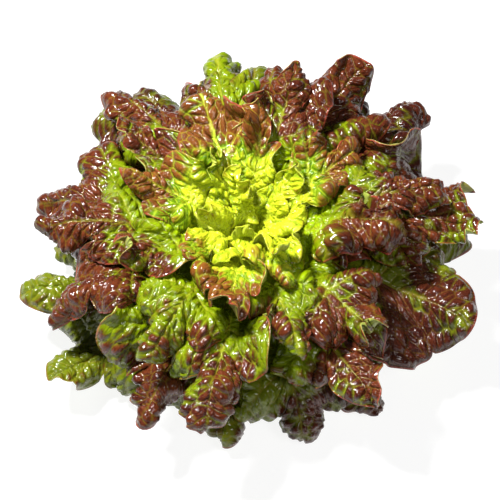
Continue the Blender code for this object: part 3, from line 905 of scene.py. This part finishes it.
def corner_measures(skin, number, every):
    """UV values for the corners of the blade's quads and of the stalk's quads."""
    rays = skin.rays[::every]
    middle = (rays[1:] + rays[:-1]) / 2
    lobes, start, angle = vein_axes(skin.leaf, middle)
    side = np.sign(middle - lobes * RAYS_A_LOBE)
    flat = quad_corners(skin.blade_flat[::every, ::every], True)
    lobes, start, angle, side = (values[:, None, None] for values in (lobes, start, angle, side))
    along, aside = vein_measures(flat, start, angle)
    net = net_measures(skin.leaf, number, along, aside, lobes, side)
    blade = (net, np.stack([along, np.abs(aside)], axis=-1), flat)

    flat = quad_corners(skin.stalk_flat[::every, ::every], False)
    vein = np.stack([flat[..., 1], np.abs(flat[..., 0])], axis=-1)
    net = net_measures(skin.leaf, number, vein[..., 0], vein[..., 1], STALK_LOBE, 0)
    stalk = (net, vein, flat)
    return [np.concatenate([a.reshape(-1, 2), b.reshape(-1, 2)]) for a, b in zip(blade, stalk)]


measures = [corner_measures(skin, number, 1) for number, skin in enumerate(skins)]
print("corners with measures on the first leaf:", len(measures[0][0]))

# %% [markdown]
# ## Node maths as expressions
#
# A node tree is a small calculation for each point of a surface. Written as Python expressions it reads
# like one: the class below wraps a socket, and adding or multiplying two of them adds a Math node. The
# same class builds the tree that measures the blisters and those of the materials.


# %% A socket that can be calculated with
class Wire:
    """A socket of a node tree, or the tree itself while it has no socket yet."""

    def __init__(self, tree, socket=None):
        self.tree = tree
        self.socket = socket

    def fill(self, node, values):
        """Sets sockets of a node, by name or number, each to a value or to what a wire carries."""
        for name, value in values.items():
            if isinstance(value, Wire):
                self.tree.links.new(value.socket, node.inputs[name])
            else:
                node.inputs[name].default_value = value

    def node(self, kind, settings=None, values=None, output=0):
        """A new node, its settings first, then the values or links of its sockets."""
        made = self.tree.nodes.new(kind)
        for name, value in (settings or {}).items():
            setattr(made, name, value)
        self.fill(made, values or {})
        return Wire(self.tree, made.outputs[output])

    def math(self, operation, *values):
        return self.node("ShaderNodeMath", {"operation": operation}, dict(enumerate(values)))

    def __add__(self, other):
        return self.math("ADD", self, other)

    def __sub__(self, other):
        return self.math("SUBTRACT", self, other)

    def __rsub__(self, other):
        return self.math("SUBTRACT", other, self)

    def __mul__(self, other):
        return self.math("MULTIPLY", self, other)

    __radd__, __rmul__ = __add__, __mul__

    def at_least(self, other):
        return self.math("MAXIMUM", self, other)

    def step(self, low, high):
        """0 below low and 1 above high, with a soft slope between."""
        values = {"Value": self, "From Min": low, "From Max": high}
        return self.node("ShaderNodeMapRange", {"interpolation_type": "SMOOTHSTEP"}, values)

    def blend(self, first, second):
        """A colour from first to second, with this socket as the share of second."""
        values = {0: self, 6: first, 7: second}
        return self.node("ShaderNodeMix", {"data_type": "RGBA"}, values, output=2)

    def bump(self, strength, distance):
        """The surface's direction when this height is pressed into it."""
        values = {"Height": self, "Strength": strength, "Distance": distance}
        return self.node("ShaderNodeBump", {}, values)

    def parts(self, *places):
        """The parts of a vector or colour: X, Y and Z, or Red, Green and Blue."""
        kind = "XYZ" if places[0] in "XYZ" else "Color"
        return [self.node(f"ShaderNodeSeparate{kind}", {}, {0: self}, output=place) for place in places]

    def cell_edge(self, scale):
        """How far this place in the net is from the nearest edge of a Voronoi cell."""
        settings = {"voronoi_dimensions": "2D", "feature": "DISTANCE_TO_EDGE"}
        values = {"Vector": self, "Scale": scale, "Randomness": CELL_RANDOMNESS}
        return self.node("ShaderNodeTexVoronoi", settings, values)


def add_object(name, data):
    added = bpy.data.objects.new(name, data)
    bpy.context.collection.objects.link(added)
    return added


def new_material(name):
    """A new material, with a wire that starts its tree."""
    material = bpy.data.materials.new(name)
    material.use_nodes = True
    return material, Wire(material.node_tree)


def finish(start, values):
    """Gives the material's one shader its values."""
    start.fill(start.tree.nodes["Principled BSDF"], values)


# %% [markdown]
# ## Blisters
#
# The skin between the fine veins grows more than the veins do, so it bulges up into blisters. In the
# net, each blister is a Voronoi cell: the places nearest to one seed. The distance to the cell's edge
# makes the dome, high inside and zero at the vein. The material can draw the same cells later, if the
# same Voronoi node works out the shape: here it runs in Geometry Nodes on a mesh of loose points.

# %% Distances to the veins of the net
CELL_RANDOMNESS = 0.95
CELL_SCALES = {"large": 1.0, "small": 2.3}


def cell_distances(places):
    """The distance to the nearest cell edge, for large and small cells, at places in the net."""
    mesh = bpy.data.meshes.new("net_places")
    mesh.vertices.add(len(places))
    mesh.vertices.foreach_set("co", np.c_[places, np.zeros(len(places))].astype(np.float32).ravel())
    probe = add_object("net_places", mesh)
    tree = bpy.data.node_groups.new("net_distances", "GeometryNodeTree")
    for way in ("INPUT", "OUTPUT"):
        tree.interface.new_socket("Geometry", in_out=way, socket_type="NodeSocketGeometry")
    geometry = Wire(tree).node("NodeGroupInput")
    place = Wire(tree).node("GeometryNodeInputPosition")
    for name, scale in CELL_SCALES.items():
        settings = {"data_type": "FLOAT", "domain": "POINT"}
        values = {"Geometry": geometry, "Name": name, "Value": place.cell_edge(scale)}
        geometry = place.node("GeometryNodeStoreNamedAttribute", settings, values)
    tree.links.new(geometry.socket, tree.nodes.new("NodeGroupOutput").inputs[0])
    probe.modifiers.new("net", "NODES").node_group = tree
    solved = probe.evaluated_get(bpy.context.evaluated_depsgraph_get()).data
    found = np.zeros((len(CELL_SCALES), len(places)), np.float32)
    for name, values in zip(CELL_SCALES, found):
        solved.attributes[name].data.foreach_get("value", values)
    bpy.data.objects.remove(probe)
    bpy.data.meshes.remove(mesh)
    bpy.data.node_groups.remove(tree)
    return found


def point_places(layout, net):
    """One place in the net for each point of a leaf, from the corners of its quads."""
    places = np.zeros((layout.count, 2))
    places[layout.quads().ravel()] = net
    return places


net_places = [point_places(layout, measure[0]) for layout, measure in zip(layouts, measures)]
leaf_ends = np.cumsum([layout.count for layout in layouts])[:-1]
cells = np.split(cell_distances(np.concatenate(net_places)), leaf_ends, axis=1)
print("widest blister, in units of the net:", f"{2 * max(large.max() for large, _ in cells):.2f}")

# %% Heights of the upper and lower skin
BLISTER, SMALL_BLISTER, DOME_RADIUS = (2.8, 2.5, 1.7), 0.45, 0.42
BLISTER_CHANGE_SIZE = 30
HALF_THICKNESS, RIB_GROOVE, RIB_RIDGE = 0.3, 0.5, 1.3
VEIN_SHARE, BASE_SHARE, STALK_BLISTERS = 0.75, 0.25, 0.2
CALM_RIM, CALM_NOTCH, MIDRIB_RUNS_ON = (0.5, 4.5), (0, 0.12), 20


def dome(distance):
    """The height of a dome over its edge, from 0 to 1."""
    share = np.clip(distance / DOME_RADIUS, 0, 1)
    return 1 - (1 - share) ** 2


def rib_widths(leaf, along_midrib, along_vein, vein_length):
    """Half the width of the midrib and of a lobe's vein."""
    midrib = (4.2 - 3.0 * leaf.age) * np.clip(1.05 - along_midrib / (0.8 * leaf.length), 0.18, 1)
    vein = (1.9 - 1.0 * leaf.age) * np.clip(1 - along_vein / np.maximum(vein_length, 1), 0.2, 1)
    return midrib, vein


def main_veins(leaf, rays, flat):
    """How much each place belongs to the midrib or to a lobe's vein, from 0 to 1."""
    lobes, start, angle = vein_axes(leaf, rays)
    along, aside = vein_measures(flat, start[:, None], angle[:, None])
    lengths = np.array([ray_shape(leaf, lobe * RAYS_A_LOBE)[2] for lobe in lobes])[:, None]
    midrib_width, vein_width = rib_widths(leaf, flat[..., 1], along, lengths)
    rib = np.exp(-((flat[..., 0] / midrib_width) ** 2))
    rib *= flat[..., 1] < leaf.length * MIDRIB_TOP + MIDRIB_RUNS_ON
    vein = np.exp(-((aside / vein_width) ** 2)) * (np.abs(along) < lengths)
    return np.maximum(rib, VEIN_SHARE * vein)


def skin_heights(number):
    """How far the upper skin stands over the middle of the leaf, and the lower skin under it."""
    skin, layout = skins[number], layouts[number]
    leaf, flat = skin.leaf, skin.blade_flat
    main = main_veins(leaf, skin.rays, flat)
    notch = np.abs(np.abs(skin.rays / RAYS_A_LOBE - np.round(skin.rays / RAYS_A_LOBE)) - 0.5)[:, None]
    in_notch = BASE_SHARE + (1 - BASE_SHARE) * soft_step(notch, *CALM_NOTCH)
    calm = soft_step(margin_distance(skin), *CALM_RIM) * in_notch
    past_base = soft_step(flat[..., 1], leaf.length * 0.25, leaf.length * 0.5)
    blade_share = calm * (1 - main) * (BASE_SHARE + (1 - BASE_SHARE) * past_base)

    stalk_x, stalk_y = skin.stalk_flat[..., 0], skin.stalk_flat[..., 1]
    stalk_width, _ = rib_widths(leaf, stalk_y, stalk_y, np.ones_like(stalk_y))
    stalk_main = np.exp(-((stalk_x / stalk_width) ** 2))
    share = layout.gather(blade_share, STALK_BLISTERS * (1 - stalk_main))
    main = layout.gather(main, stalk_main)
    places = layout.gather(flat, skin.stalk_flat)
    strength = 0.75 + 0.25 * rough_waves(places, BLISTER_CHANGE_SIZE, BLISTER_SEED + number)
    large, small = cells[number]
    blister = dome(large) * of_ring(BLISTER, leaf) * strength + dome(small) * SMALL_BLISTER
    upper = HALF_THICKNESS + share * blister - RIB_GROOVE * (1 - leaf.age) * main * (share < 1)
    lower = HALF_THICKNESS + RIB_RIDGE * (1 - 0.7 * leaf.age) * main
    return upper, lower, main


heights = [skin_heights(number) for number in range(LEAF_COUNT)]
tallest = max(upper.max() for upper, _, _ in heights)
print(f"tallest blister: {tallest:.2f} mm over the middle of its leaf")

# %% [markdown]
# ## Pressed where leaves lie close
#
# A tall blister would poke through a leaf that lies close above it, and a rib through one below. Each
# point looks both ways along its own direction, at the middles of all the leaves, and keeps its upper
# skin within the larger share of the room it sees and its lower skin within the smaller one.

# %% Heights that fit between the neighbours
ROOM_START, ROOM_LOOK = 0.6, 8.0
UPPER_SHARE, LOWER_SHARE = 0.68, 0.3


def head_tree():
    """The middles of all the leaves in one tree."""
    faces, count = [], 0
    for layout, points in zip(layouts, placed_skins):
        faces += (layout.quads(2) + count).tolist()
        count += len(points)
    return tree_of(np.concatenate(placed_skins).tolist(), faces)


def room_along(points, ways, tree):
    """How far it is from each point to the next leaf in its direction."""
    room = np.full(len(points), ROOM_LOOK)
    for index, (start, way) in enumerate(zip(points + ways * ROOM_START, ways)):
        distance = tree.ray_cast(Vector(start), Vector(way), ROOM_LOOK)[3]
        if distance is not None:
            room[index] = ROOM_START + distance
    return room


def fitted(number, tree):
    points, (upper, lower, main) = placed_skins[number], heights[number]
    out = quad_normals(points, layouts[number].quads())
    upper = np.minimum(upper, np.maximum(UPPER_SHARE * room_along(points, out, tree), HALF_THICKNESS))
    lower = np.minimum(lower, np.maximum(LOWER_SHARE * room_along(points, -out, tree), HALF_THICKNESS))
    return upper, lower, main


whole_head = head_tree()
heights = [fitted(number, whole_head) for number in range(LEAF_COUNT)]
print("mean height of the first leaf's upper skin:", f"{heights[0][0].mean():.2f} mm")

# %% [markdown]
# ## Where the red comes
#
# The red is a sunscreen that the leaf makes where light falls on it: on the outer leaves, towards their
# margins, and first on top of the blisters. The heart stays yellow-green. Each point keeps four values
# in a colour attribute: how red, how young, how near the margin, and whether it is on the underside.

# %% Values for the colours
RED_FROM, RED_TO, YOUNG_FROM, YOUNG_TO = 13.0, 76.0, 18.0, 78.0
HEART_X, HEART_Y = 4.0, -9.0
RED_ALONG, RED_ASIDE, ASIDE_SHARE = (0.36, 0.8), (0.1, 0.75), 0.8
LEAST_RED, REACH_RED, PATCH_RED = 0.1, 0.86, 0.12
PATCH_SIZE, PATCH_BLUR, HEM_WIDTH = 24, 6, 1.6
OWN_RED = {
    1: -0.3, 3: -0.55, 5: -0.4, 6: -0.3, 8: -0.6, 11: -0.4, 13: -0.35, 14: 0.0, 15: -0.5,
    16: -0.2, 24: -0.22, 28: -0.3, 29: -0.22, 34: -0.25,
}


def tint_values(number):
    """Red, young and margin shares for the points of the upper skin."""
    skin, layout, points = skins[number], layouts[number], placed_skins[number]
    leaf = skin.leaf
    no_stalk = np.zeros(skin.stalk.shape[:2])
    flat = layout.gather(skin.blade_flat, skin.stalk_flat)
    radius = np.hypot(points[:, 0] - HEART_X, points[:, 1] - HEART_Y)
    out = soft_step(radius, RED_FROM, RED_TO)
    along = soft_step(flat[:, 1] / leaf.length, *RED_ALONG)
    aside = soft_step(np.abs(flat[:, 0]) / leaf.reach, *RED_ASIDE)
    reach = np.maximum(along, aside * ASIDE_SHARE)
    patches = rough_waves(flat, PATCH_SIZE, PATCH_SEED + number)
    draw = random.Random(number)
    own = OWN_RED.get(number + 1, draw.uniform(-0.12, 0.1))
    by_lobe = [draw.uniform(-0.42, 0.16) for _ in leaf.sizes]
    by_ray = np.array([of_lobe(by_lobe, ray) for ray in skin.rays])
    lobe_own = layout.gather(by_ray[:, None] + 0 * skin.blade_flat[..., 0], no_stalk)
    red = out * (LEAST_RED + REACH_RED * reach) + own + lobe_own * out + PATCH_RED * patches
    young = 1 - soft_step(radius + PATCH_BLUR * patches, YOUNG_FROM, YOUNG_TO)
    edge = layout.gather(np.exp(-margin_distance(skin) / HEM_WIDTH), no_stalk)
    return np.clip(red, 0, 1), young, edge


tints = [tint_values(number) for number in range(LEAF_COUNT)]
print("mean red of the first and the last leaf:", [f"{tints[i][0].mean():.2f}" for i in (0, -1)])

# %% [markdown]
# ## The leaf's finish
#
# One way to make a leaf is a photograph wrapped over it. This one is worked out instead, so it is sharp
# from any distance and from any side: green skin that darkens with age, red-brown on the blisters, pale
# veins, a thin red margin, and a matt paler underside. Painted shade darkens the green in the valleys
# between the blisters, and a faint painted glow brightens the heart. The three rings share the recipe
# with their own colours, which change from the heart outwards.

# %% Colours of the three rings
def colour(red, green, blue):
    """A colour as it looks on a screen, 0 to 255, as the linear values that shaders use."""
    parts = [c / 255 for c in (red, green, blue)]
    return (*[((c + 0.055) / 1.055) ** 2.4 if c > 10 / 255 else c / 12.92 for c in parts], 1)


# green, young green, red, light red, red of young leaves, vein
FINISHES = {
    "outer": ((92, 102, 14), (132, 148, 6), (42, 13, 11), (82, 36, 20), (104, 56, 12), (118, 104, 26)),
    "middle": ((102, 120, 4), (138, 162, 4), (50, 16, 12), (96, 45, 22), (98, 52, 20), (136, 138, 30)),
    "heart": ((84, 118, 4), (184, 194, 34), (88, 44, 20), (118, 70, 26), (122, 74, 26), (190, 204, 52)),
}
MARGIN_RED = colour(150, 62, 46)
UNDER_GREEN, UNDER_RED = colour(142, 156, 66), colour(126, 92, 60)
BLACK, WHITE, GREY = (0, 0, 0, 1), (1, 1, 1, 1), (0.2, 0.2, 0.2, 1)
MAPS = ("net", "vein", "flat")


def leaf_finish(ring):
    """The material of a ring's leaves."""
    shades = (colour(*shade) for shade in FINISHES[ring])
    green, young_green, dark_red, light_red, young_red, vein = shades
    material, start = new_material(f"{ring}_leaf_skin")
    net, vein_place, flat = (start.node("ShaderNodeUVMap", {"uv_map": name}) for name in MAPS)

    def noise(scale, detail):
        values = {"Vector": flat, "Scale": scale, "Detail": detail}
        return start.node("ShaderNodeTexNoise", {"noise_dimensions": "2D"}, values)

    tint = start.node("ShaderNodeVertexColor", {"layer_name": "tint"}, output="Color")
    under = start.node("ShaderNodeVertexColor", {"layer_name": "tint"}, output="Alpha")
    red, young, edge = tint.parts("Red", "Green", "Blue")
    along, aside = vein_place.parts("X", "Y")
    off_rib, from_base = flat.parts("X", "Y")
    large, small = (net.cell_edge(scale) for scale in CELL_SCALES.values())
    patches, specks = noise(0.06, 4.0), noise(0.9, 2.0)
    top, grain = large.step(0.0, 0.36), small.step(0.0, 0.25)

    # Share of young green: real youth and patches, with painted shade in the blister valleys.
    young_share_and_valley_shade = (young * 1.1 + (patches - 0.5) * 1.4 + (top - 0.7) * 0.6).step(0.05, 0.95)
    greens = young_share_and_valley_shade.blend(green, young_green)
    reds = (patches * 0.7 + specks * 0.5).step(0.35, 0.85).blend(dark_red, light_red)
    reds = young.step(0.05, 0.8).blend(reds, young_red)
    redness = red * 1.1 + (top - 0.5) * 0.26 + (grain - 0.5) * 0.06 + (patches - 0.5) * 1.1
    redness = redness.step(0.3, 0.74)
    skin = redness.blend(greens, reds)

    fine_vein = 1 - large.step(0.01, 0.09)
    skin = (fine_vein * (0.4 - 0.24 * redness)).blend(skin, vein)
    rib = 1 - (off_rib.math("ABSOLUTE", off_rib) + from_base * 0.014).step(0.7, 2.3)
    rib = rib * (1 - from_base.step(70, 112))
    lobe_vein = (1 - (aside + along * 0.024).step(0.35, 1.3)) * (1 - along.step(10, 44))
    main_vein = rib.at_least(lobe_vein * 0.9)
    skin = (main_vein * (0.8 - 0.4 * redness)).blend(skin, vein)
    hem = edge.step(0.42, 0.8) * (0.2 + red * 0.6) * noise(0.05, 1.0).step(0.25, 0.45)
    skin = hem.blend(skin, MARGIN_RED)

    below = (red * 0.7 + (patches - 0.5) * 0.5).step(0.25, 0.9).blend(UNDER_GREEN, UNDER_RED)
    below = (fine_vein * 0.5).at_least(main_vein).blend(below, vein)
    below = (young * 0.6).blend(below, young_green)
    faces = under.step(0.35, 0.65)
    skin = faces.blend(skin, below)

    finish(start, {
        "Base Color": skin,
        "Roughness": 0.15 + 0.06 * specks + 0.12 * main_vein + 0.3 * faces,
        "Normal": (top * 0.55 + grain * 0.18 + specks * 0.05).bump(0.9, 0.0012),
        # A faint painted glow: the young heart leaves emit their own colour, as if lit through.
        "Emission Color": young.blend(BLACK, skin),
        "Emission Strength": 0.06,
        "IOR": 1.36,
        "Coat Weight": 0.24,
        "Coat Roughness": 0.06,
    })
    return material


finishes = {ring: leaf_finish(ring) for ring in RINGS}
print("nodes in a leaf's material:", len(finishes["outer"].node_tree.nodes))

# %% [markdown]
# ## Closed leaves
#
# Now the parts come together: an upper skin of quads, a lower skin with half as many rows and columns,
# and the band round the edge. Each face corner carries its measures, and each point its tint. The leaf
# then rides on the model's body and takes the place of its plain blade.


# %% Building the leaves
FROM_BELOW = [0, 3, 2, 1]


def band_triangles(rim, lower_of):
    """The band between the upper skin's edge and the lower skin's, which has every second point."""
    first, middle, last = rim[0::2], rim[1::2], np.roll(rim, -2)[0::2]
    low_first, low_last = lower_of[first], lower_of[last]
    return np.concatenate([
        np.stack([middle, first, low_first], axis=1),
        np.stack([last, middle, low_last], axis=1),
        np.stack([middle, low_first, low_last], axis=1),
    ])


def lower_numbers(layout):
    """The number on the lower skin of each point that it uses."""
    used = np.unique(np.concatenate([layout.blade[::2, ::2].ravel(), layout.stalk[::2, ::2].ravel()]))
    numbers = np.full(layout.count, -1)
    numbers[used] = layout.count + np.arange(len(used))
    return used, numbers


def add_map(mesh, name, values):
    layer = mesh.uv_layers.new(name=name)
    layer.uv.foreach_set("vector", np.ascontiguousarray(values, np.float32).ravel())


def closed_mesh(name, places, *faces):
    """A smooth mesh from places in millimetres and arrays of faces."""
    corners = np.concatenate([part.ravel() for part in faces])
    sizes = np.concatenate([np.full(len(part), part.shape[1]) for part in faces])
    mesh = bpy.data.meshes.new(name)
    mesh.vertices.add(len(places))
    mesh.vertices.foreach_set("co", (places * MILLIMETRE).astype(np.float32).ravel())
    mesh.loops.add(len(corners))
    mesh.loops.foreach_set("vertex_index", corners.astype(np.int32))
    mesh.polygons.add(len(sizes))
    mesh.polygons.foreach_set("loop_start", (np.cumsum(sizes) - sizes).astype(np.int32))
    mesh.polygons.foreach_set("use_smooth", np.ones(len(sizes), bool))
    mesh.update(calc_edges=True)
    return mesh


def add_tint(mesh, tint):
    layer = mesh.attributes.new("tint", "FLOAT_COLOR", "POINT")
    layer.data.foreach_set("color", np.ascontiguousarray(tint, np.float32).ravel())


def add_piece(mesh, node):
    """The mesh as a piece that takes the place of a node of the model."""
    piece = add_object(f"fine_{node}", mesh)
    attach(piece, "root")
    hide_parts(node)
    return piece


def build_leaf(number):
    skin, layout = skins[number], layouts[number]
    points, (upper, lower, _) = placed_skins[number], heights[number]
    quads = layout.quads()
    out = quad_normals(points, quads)
    used, lower_of = lower_numbers(layout)
    low_quads = layout.quads(2)
    places = np.concatenate([points + out * upper[:, None], (points - out * lower[:, None])[used]])

    band = band_triangles(layout.rim(), lower_of)
    mesh = closed_mesh(skin.leaf.name, places, quads, lower_of[low_quads[:, FROM_BELOW]], band)

    top_point = np.concatenate([np.arange(layout.count), used])
    for name, high, low in zip(MAPS, measures[number], corner_measures(skin, number, 2)):
        own = np.zeros((layout.count, 2))
        own[quads.ravel()] = high
        low = low.reshape(-1, 4, 2)[:, FROM_BELOW].reshape(-1, 2)
        add_map(mesh, name, np.concatenate([high, low, own[top_point[band.ravel()]]]))
    red, young, edge = tints[number]
    is_lower = np.arange(len(places)) >= layout.count
    add_tint(mesh, np.stack([red[top_point], young[top_point], edge[top_point], is_lower], axis=1))
    ring = ring_of(skin.leaf.age)
    mesh.materials.append(finishes[ring])
    return add_piece(mesh, skin.leaf.name)


pieces = [build_leaf(number) for number in range(LEAF_COUNT)]
polygons = [polygon for piece in pieces for polygon in piece.data.polygons]
print("triangles in the leaves:", sum(len(polygon.vertices) - 2 for polygon in polygons))

# %% [markdown]
# ## The stem
#
# The stem is hidden by its leaves except on the cut face below. It is turned, like a knob, from rows of
# rings: a cut face with a slight hollow, a short column, and the dome that the leaves grow from. Older
# leaves that were picked off have left shallow scars round the column, and milky sap has dried brown on
# the cut. It stays just inside the plain stem, so it touches no leaf.

# %% The stem's finish
def stem_finish():
    """Pale fibres on the side, brown scars, and dried sap in rings on the cut."""
    material, start = new_material("stem_skin")
    place = start.node("ShaderNodeTexCoord", output="Object")

    def noise(*stretch):
        scaled = start.node("ShaderNodeVectorMath", {"operation": "MULTIPLY"}, {0: place, 1: stretch})
        return start.node("ShaderNodeTexNoise", {}, {"Vector": scaled, "Scale": 1.0, "Detail": 3.0})

    marks = start.node("ShaderNodeVertexColor", {"layer_name": "tint"}, output="Color")
    scar, cut = marks.parts("Red", "Green")
    fibre, cloud = noise(900, 900, 60), noise(160, 160, 160)
    side = fibre.step(0.3, 0.7).blend(colour(172, 184, 112), colour(214, 216, 166))
    side = (scar * 0.9).step(0.2, 0.8).blend(side, colour(146, 108, 62))
    side = place.parts("Z")[0].step(0.024, 0.04).blend(side, colour(112, 148, 20))
    dried = (cloud + (fibre - 0.5) * 0.5).step(0.35, 0.65)
    sap = dried.blend(colour(224, 216, 176), colour(162, 104, 56))
    finish(start, {
        "Base Color": cut.step(0.4, 0.6).blend(side, sap),
        "Roughness": 0.42 + 0.2 * cloud,
        "Normal": (fibre + cloud).bump(0.5, 0.0006),
    })
    return material


# %% The turned stem
STEM_SIDES, FACE_ROWS, DOME_ROWS = 96, 14, 32
SCAR_COUNT, SCAR_SIZE, SCAR_DEPTH = 9, (5.0, 1.3), 1.0
CUT_HOLLOW, FIBRES, DEEPEST_CUT = 0.5, 26, 0.3


def stem_profile():
    """Radius and height of each ring, from the middle of the cut up to the top of the dome."""
    lowest = -math.acos(STEM_CUT_RADIUS / STEM_DOME_RADIUS)
    face = np.linspace(1, STEM_CUT_RADIUS - 1, FACE_ROWS)
    column = np.linspace(1, STEM_CENTRE_HEIGHT + STEM_DOME_RADIUS * math.sin(lowest), FACE_ROWS)
    dome_angles = np.linspace(lowest, math.pi / 2, DOME_ROWS)[1:-1]
    radius = [face, STEM_CUT_RADIUS + 0 * column, STEM_DOME_RADIUS * np.cos(dome_angles)]
    height = [0 * face, column, STEM_CENTRE_HEIGHT + STEM_DOME_RADIUS * np.sin(dome_angles)]
    return np.concatenate(radius), np.concatenate(height)


def stem_scars(turn, height):
    """How deep each place lies in the scar of a leaf that was picked off, from 0 to 1."""
    scar = np.zeros((len(height), len(turn)))
    for number in range(SCAR_COUNT):
        from_scar = (turn - math.radians(GOLDEN_ANGLE) * number + math.pi) % (2 * math.pi) - math.pi
        across = from_scar * STEM_CUT_RADIUS / SCAR_SIZE[0]
        up = (height - 3 - number) / SCAR_SIZE[1]
        scar = np.maximum(scar, np.exp(-(across[None] ** 2) - up[:, None] ** 2))
    return scar


def build_stem():
    radius, height = stem_profile()
    rows = len(radius)
    turn = np.arange(STEM_SIDES) * 2 * math.pi / STEM_SIDES
    scar = stem_scars(turn, height)
    is_face = (np.arange(rows) < FACE_ROWS)[:, None]
    fibres = 0.25 + 0.2 * np.sin(FIBRES * turn + 1.5 * np.sin(2 * turn) + height[:, None] * 0.2)
    inwards = np.where(is_face, 0, fibres + SCAR_DEPTH * scar)
    hollow = CUT_HOLLOW * (1 - (radius / STEM_CUT_RADIUS) ** 2) + 0.07 * np.sin(radius * 2.4)
    out = np.maximum(radius[:, None] - inwards, DEEPEST_CUT)
    up = height[:, None] + np.where(is_face, np.maximum(hollow, 0)[:, None], 0) + 0 * out
    places = np.stack([out * np.cos(turn), out * np.sin(turn), up], axis=-1).reshape(-1, 3)
    ends = [[0, 0, CUT_HOLLOW], [0, 0, STEM_CENTRE_HEIGHT + STEM_DOME_RADIUS - DEEPEST_CUT]]

    grid = np.arange(rows * STEM_SIDES).reshape(rows, STEM_SIDES)
    grid = np.concatenate([grid, grid[:, :1]], axis=1)
    corners = [grid[:-1, :-1], grid[:-1, 1:], grid[1:, 1:], grid[1:, :-1]]
    quads = np.stack(corners, axis=-1).reshape(-1, 4)
    bottom = np.full(STEM_SIDES, rows * STEM_SIDES)
    lowest = np.stack([bottom, grid[0, 1:], grid[0, :-1]], axis=1)
    highest = np.stack([bottom + 1, grid[-1, :-1], grid[-1, 1:]], axis=1)
    mesh = closed_mesh("stem", np.concatenate([places, ends]), quads, lowest, highest)
    marks = np.stack([scar, is_face + 0 * scar], axis=-1).reshape(-1, 2)
    marks = np.concatenate([marks, [[0, 1], [0, 0]]])
    add_tint(mesh, np.concatenate([marks, 0 * marks], axis=1))
    mesh.materials.append(stem_finish())
    return add_piece(mesh, "stem")


stem = build_stem()
print("faces in the stem:", len(stem.data.polygons))

# %% [markdown]
# ## The stage
#
# The floor is a plain pale sheet, a little shiny, so the lowest leaves show faintly in it. A small
# bright lamp above the head, to its left, lights the tops of the blisters, and a weak one fills the
# side that faces the camera. The camera looks down at 56 degrees from the front.

# %% Floor, lamps and camera
HALF_FLOOR = 1.5
LAMP_TARGET, CAMERA_TARGET = Vector((0, 0, 0.05)), Vector((0.001, 0, 0.045))
CAMERA_DISTANCE, CAMERA_RISE, CAMERA_LENS = 0.9, math.radians(56), 101.7
floor_mesh = bpy.data.meshes.new("floor")
floor_corners = [(x * HALF_FLOOR, y * HALF_FLOOR, 0) for x, y in ((-1, -1), (1, -1), (1, 1), (-1, 1))]
floor_mesh.from_pydata(floor_corners, [], [(0, 1, 2, 3)])
floor = add_object("floor", floor_mesh)
paper, paper_start = new_material("pale_floor")
finish(paper_start, {
    "Base Color": GREY, "Roughness": 0.2, "Emission Color": WHITE, "Emission Strength": 0.88,
})
floor_mesh.materials.append(paper)


def aim(holder, place, target):
    """Puts a lamp or the camera in its place and turns it to look at a target."""
    holder.location = place
    holder.rotation_euler = (target - Vector(place)).to_track_quat("-Z", "Y").to_euler()


for name, place, energy, size in (
    ("key_lamp", (-0.42, 0.15, 1.0), 30, 0.16),
    ("fill_lamp", (0.45, -0.6, 0.95), 4, 0.3),
):
    lamp = bpy.data.lights.new(name, "AREA")
    lamp.energy, lamp.size = energy, size
    aim(add_object(name, lamp), place, LAMP_TARGET)

world = bpy.data.worlds.new("studio")
world.use_nodes = True
background = world.node_tree.nodes["Background"]
Wire(world.node_tree).fill(background, {"Color": WHITE, "Strength": 0.07})
bpy.context.scene.world = world
bpy.context.scene.view_settings.view_transform = "Standard"

view = bpy.data.cameras.new("camera")
view.lens = CAMERA_LENS
camera = add_object("camera", view)
away = Vector((0, -math.cos(CAMERA_RISE), math.sin(CAMERA_RISE)))
aim(camera, CAMERA_TARGET + away * CAMERA_DISTANCE, CAMERA_TARGET)
bpy.context.scene.camera = camera
print("the camera is", f"{camera.location.z:.2f} m above the floor")
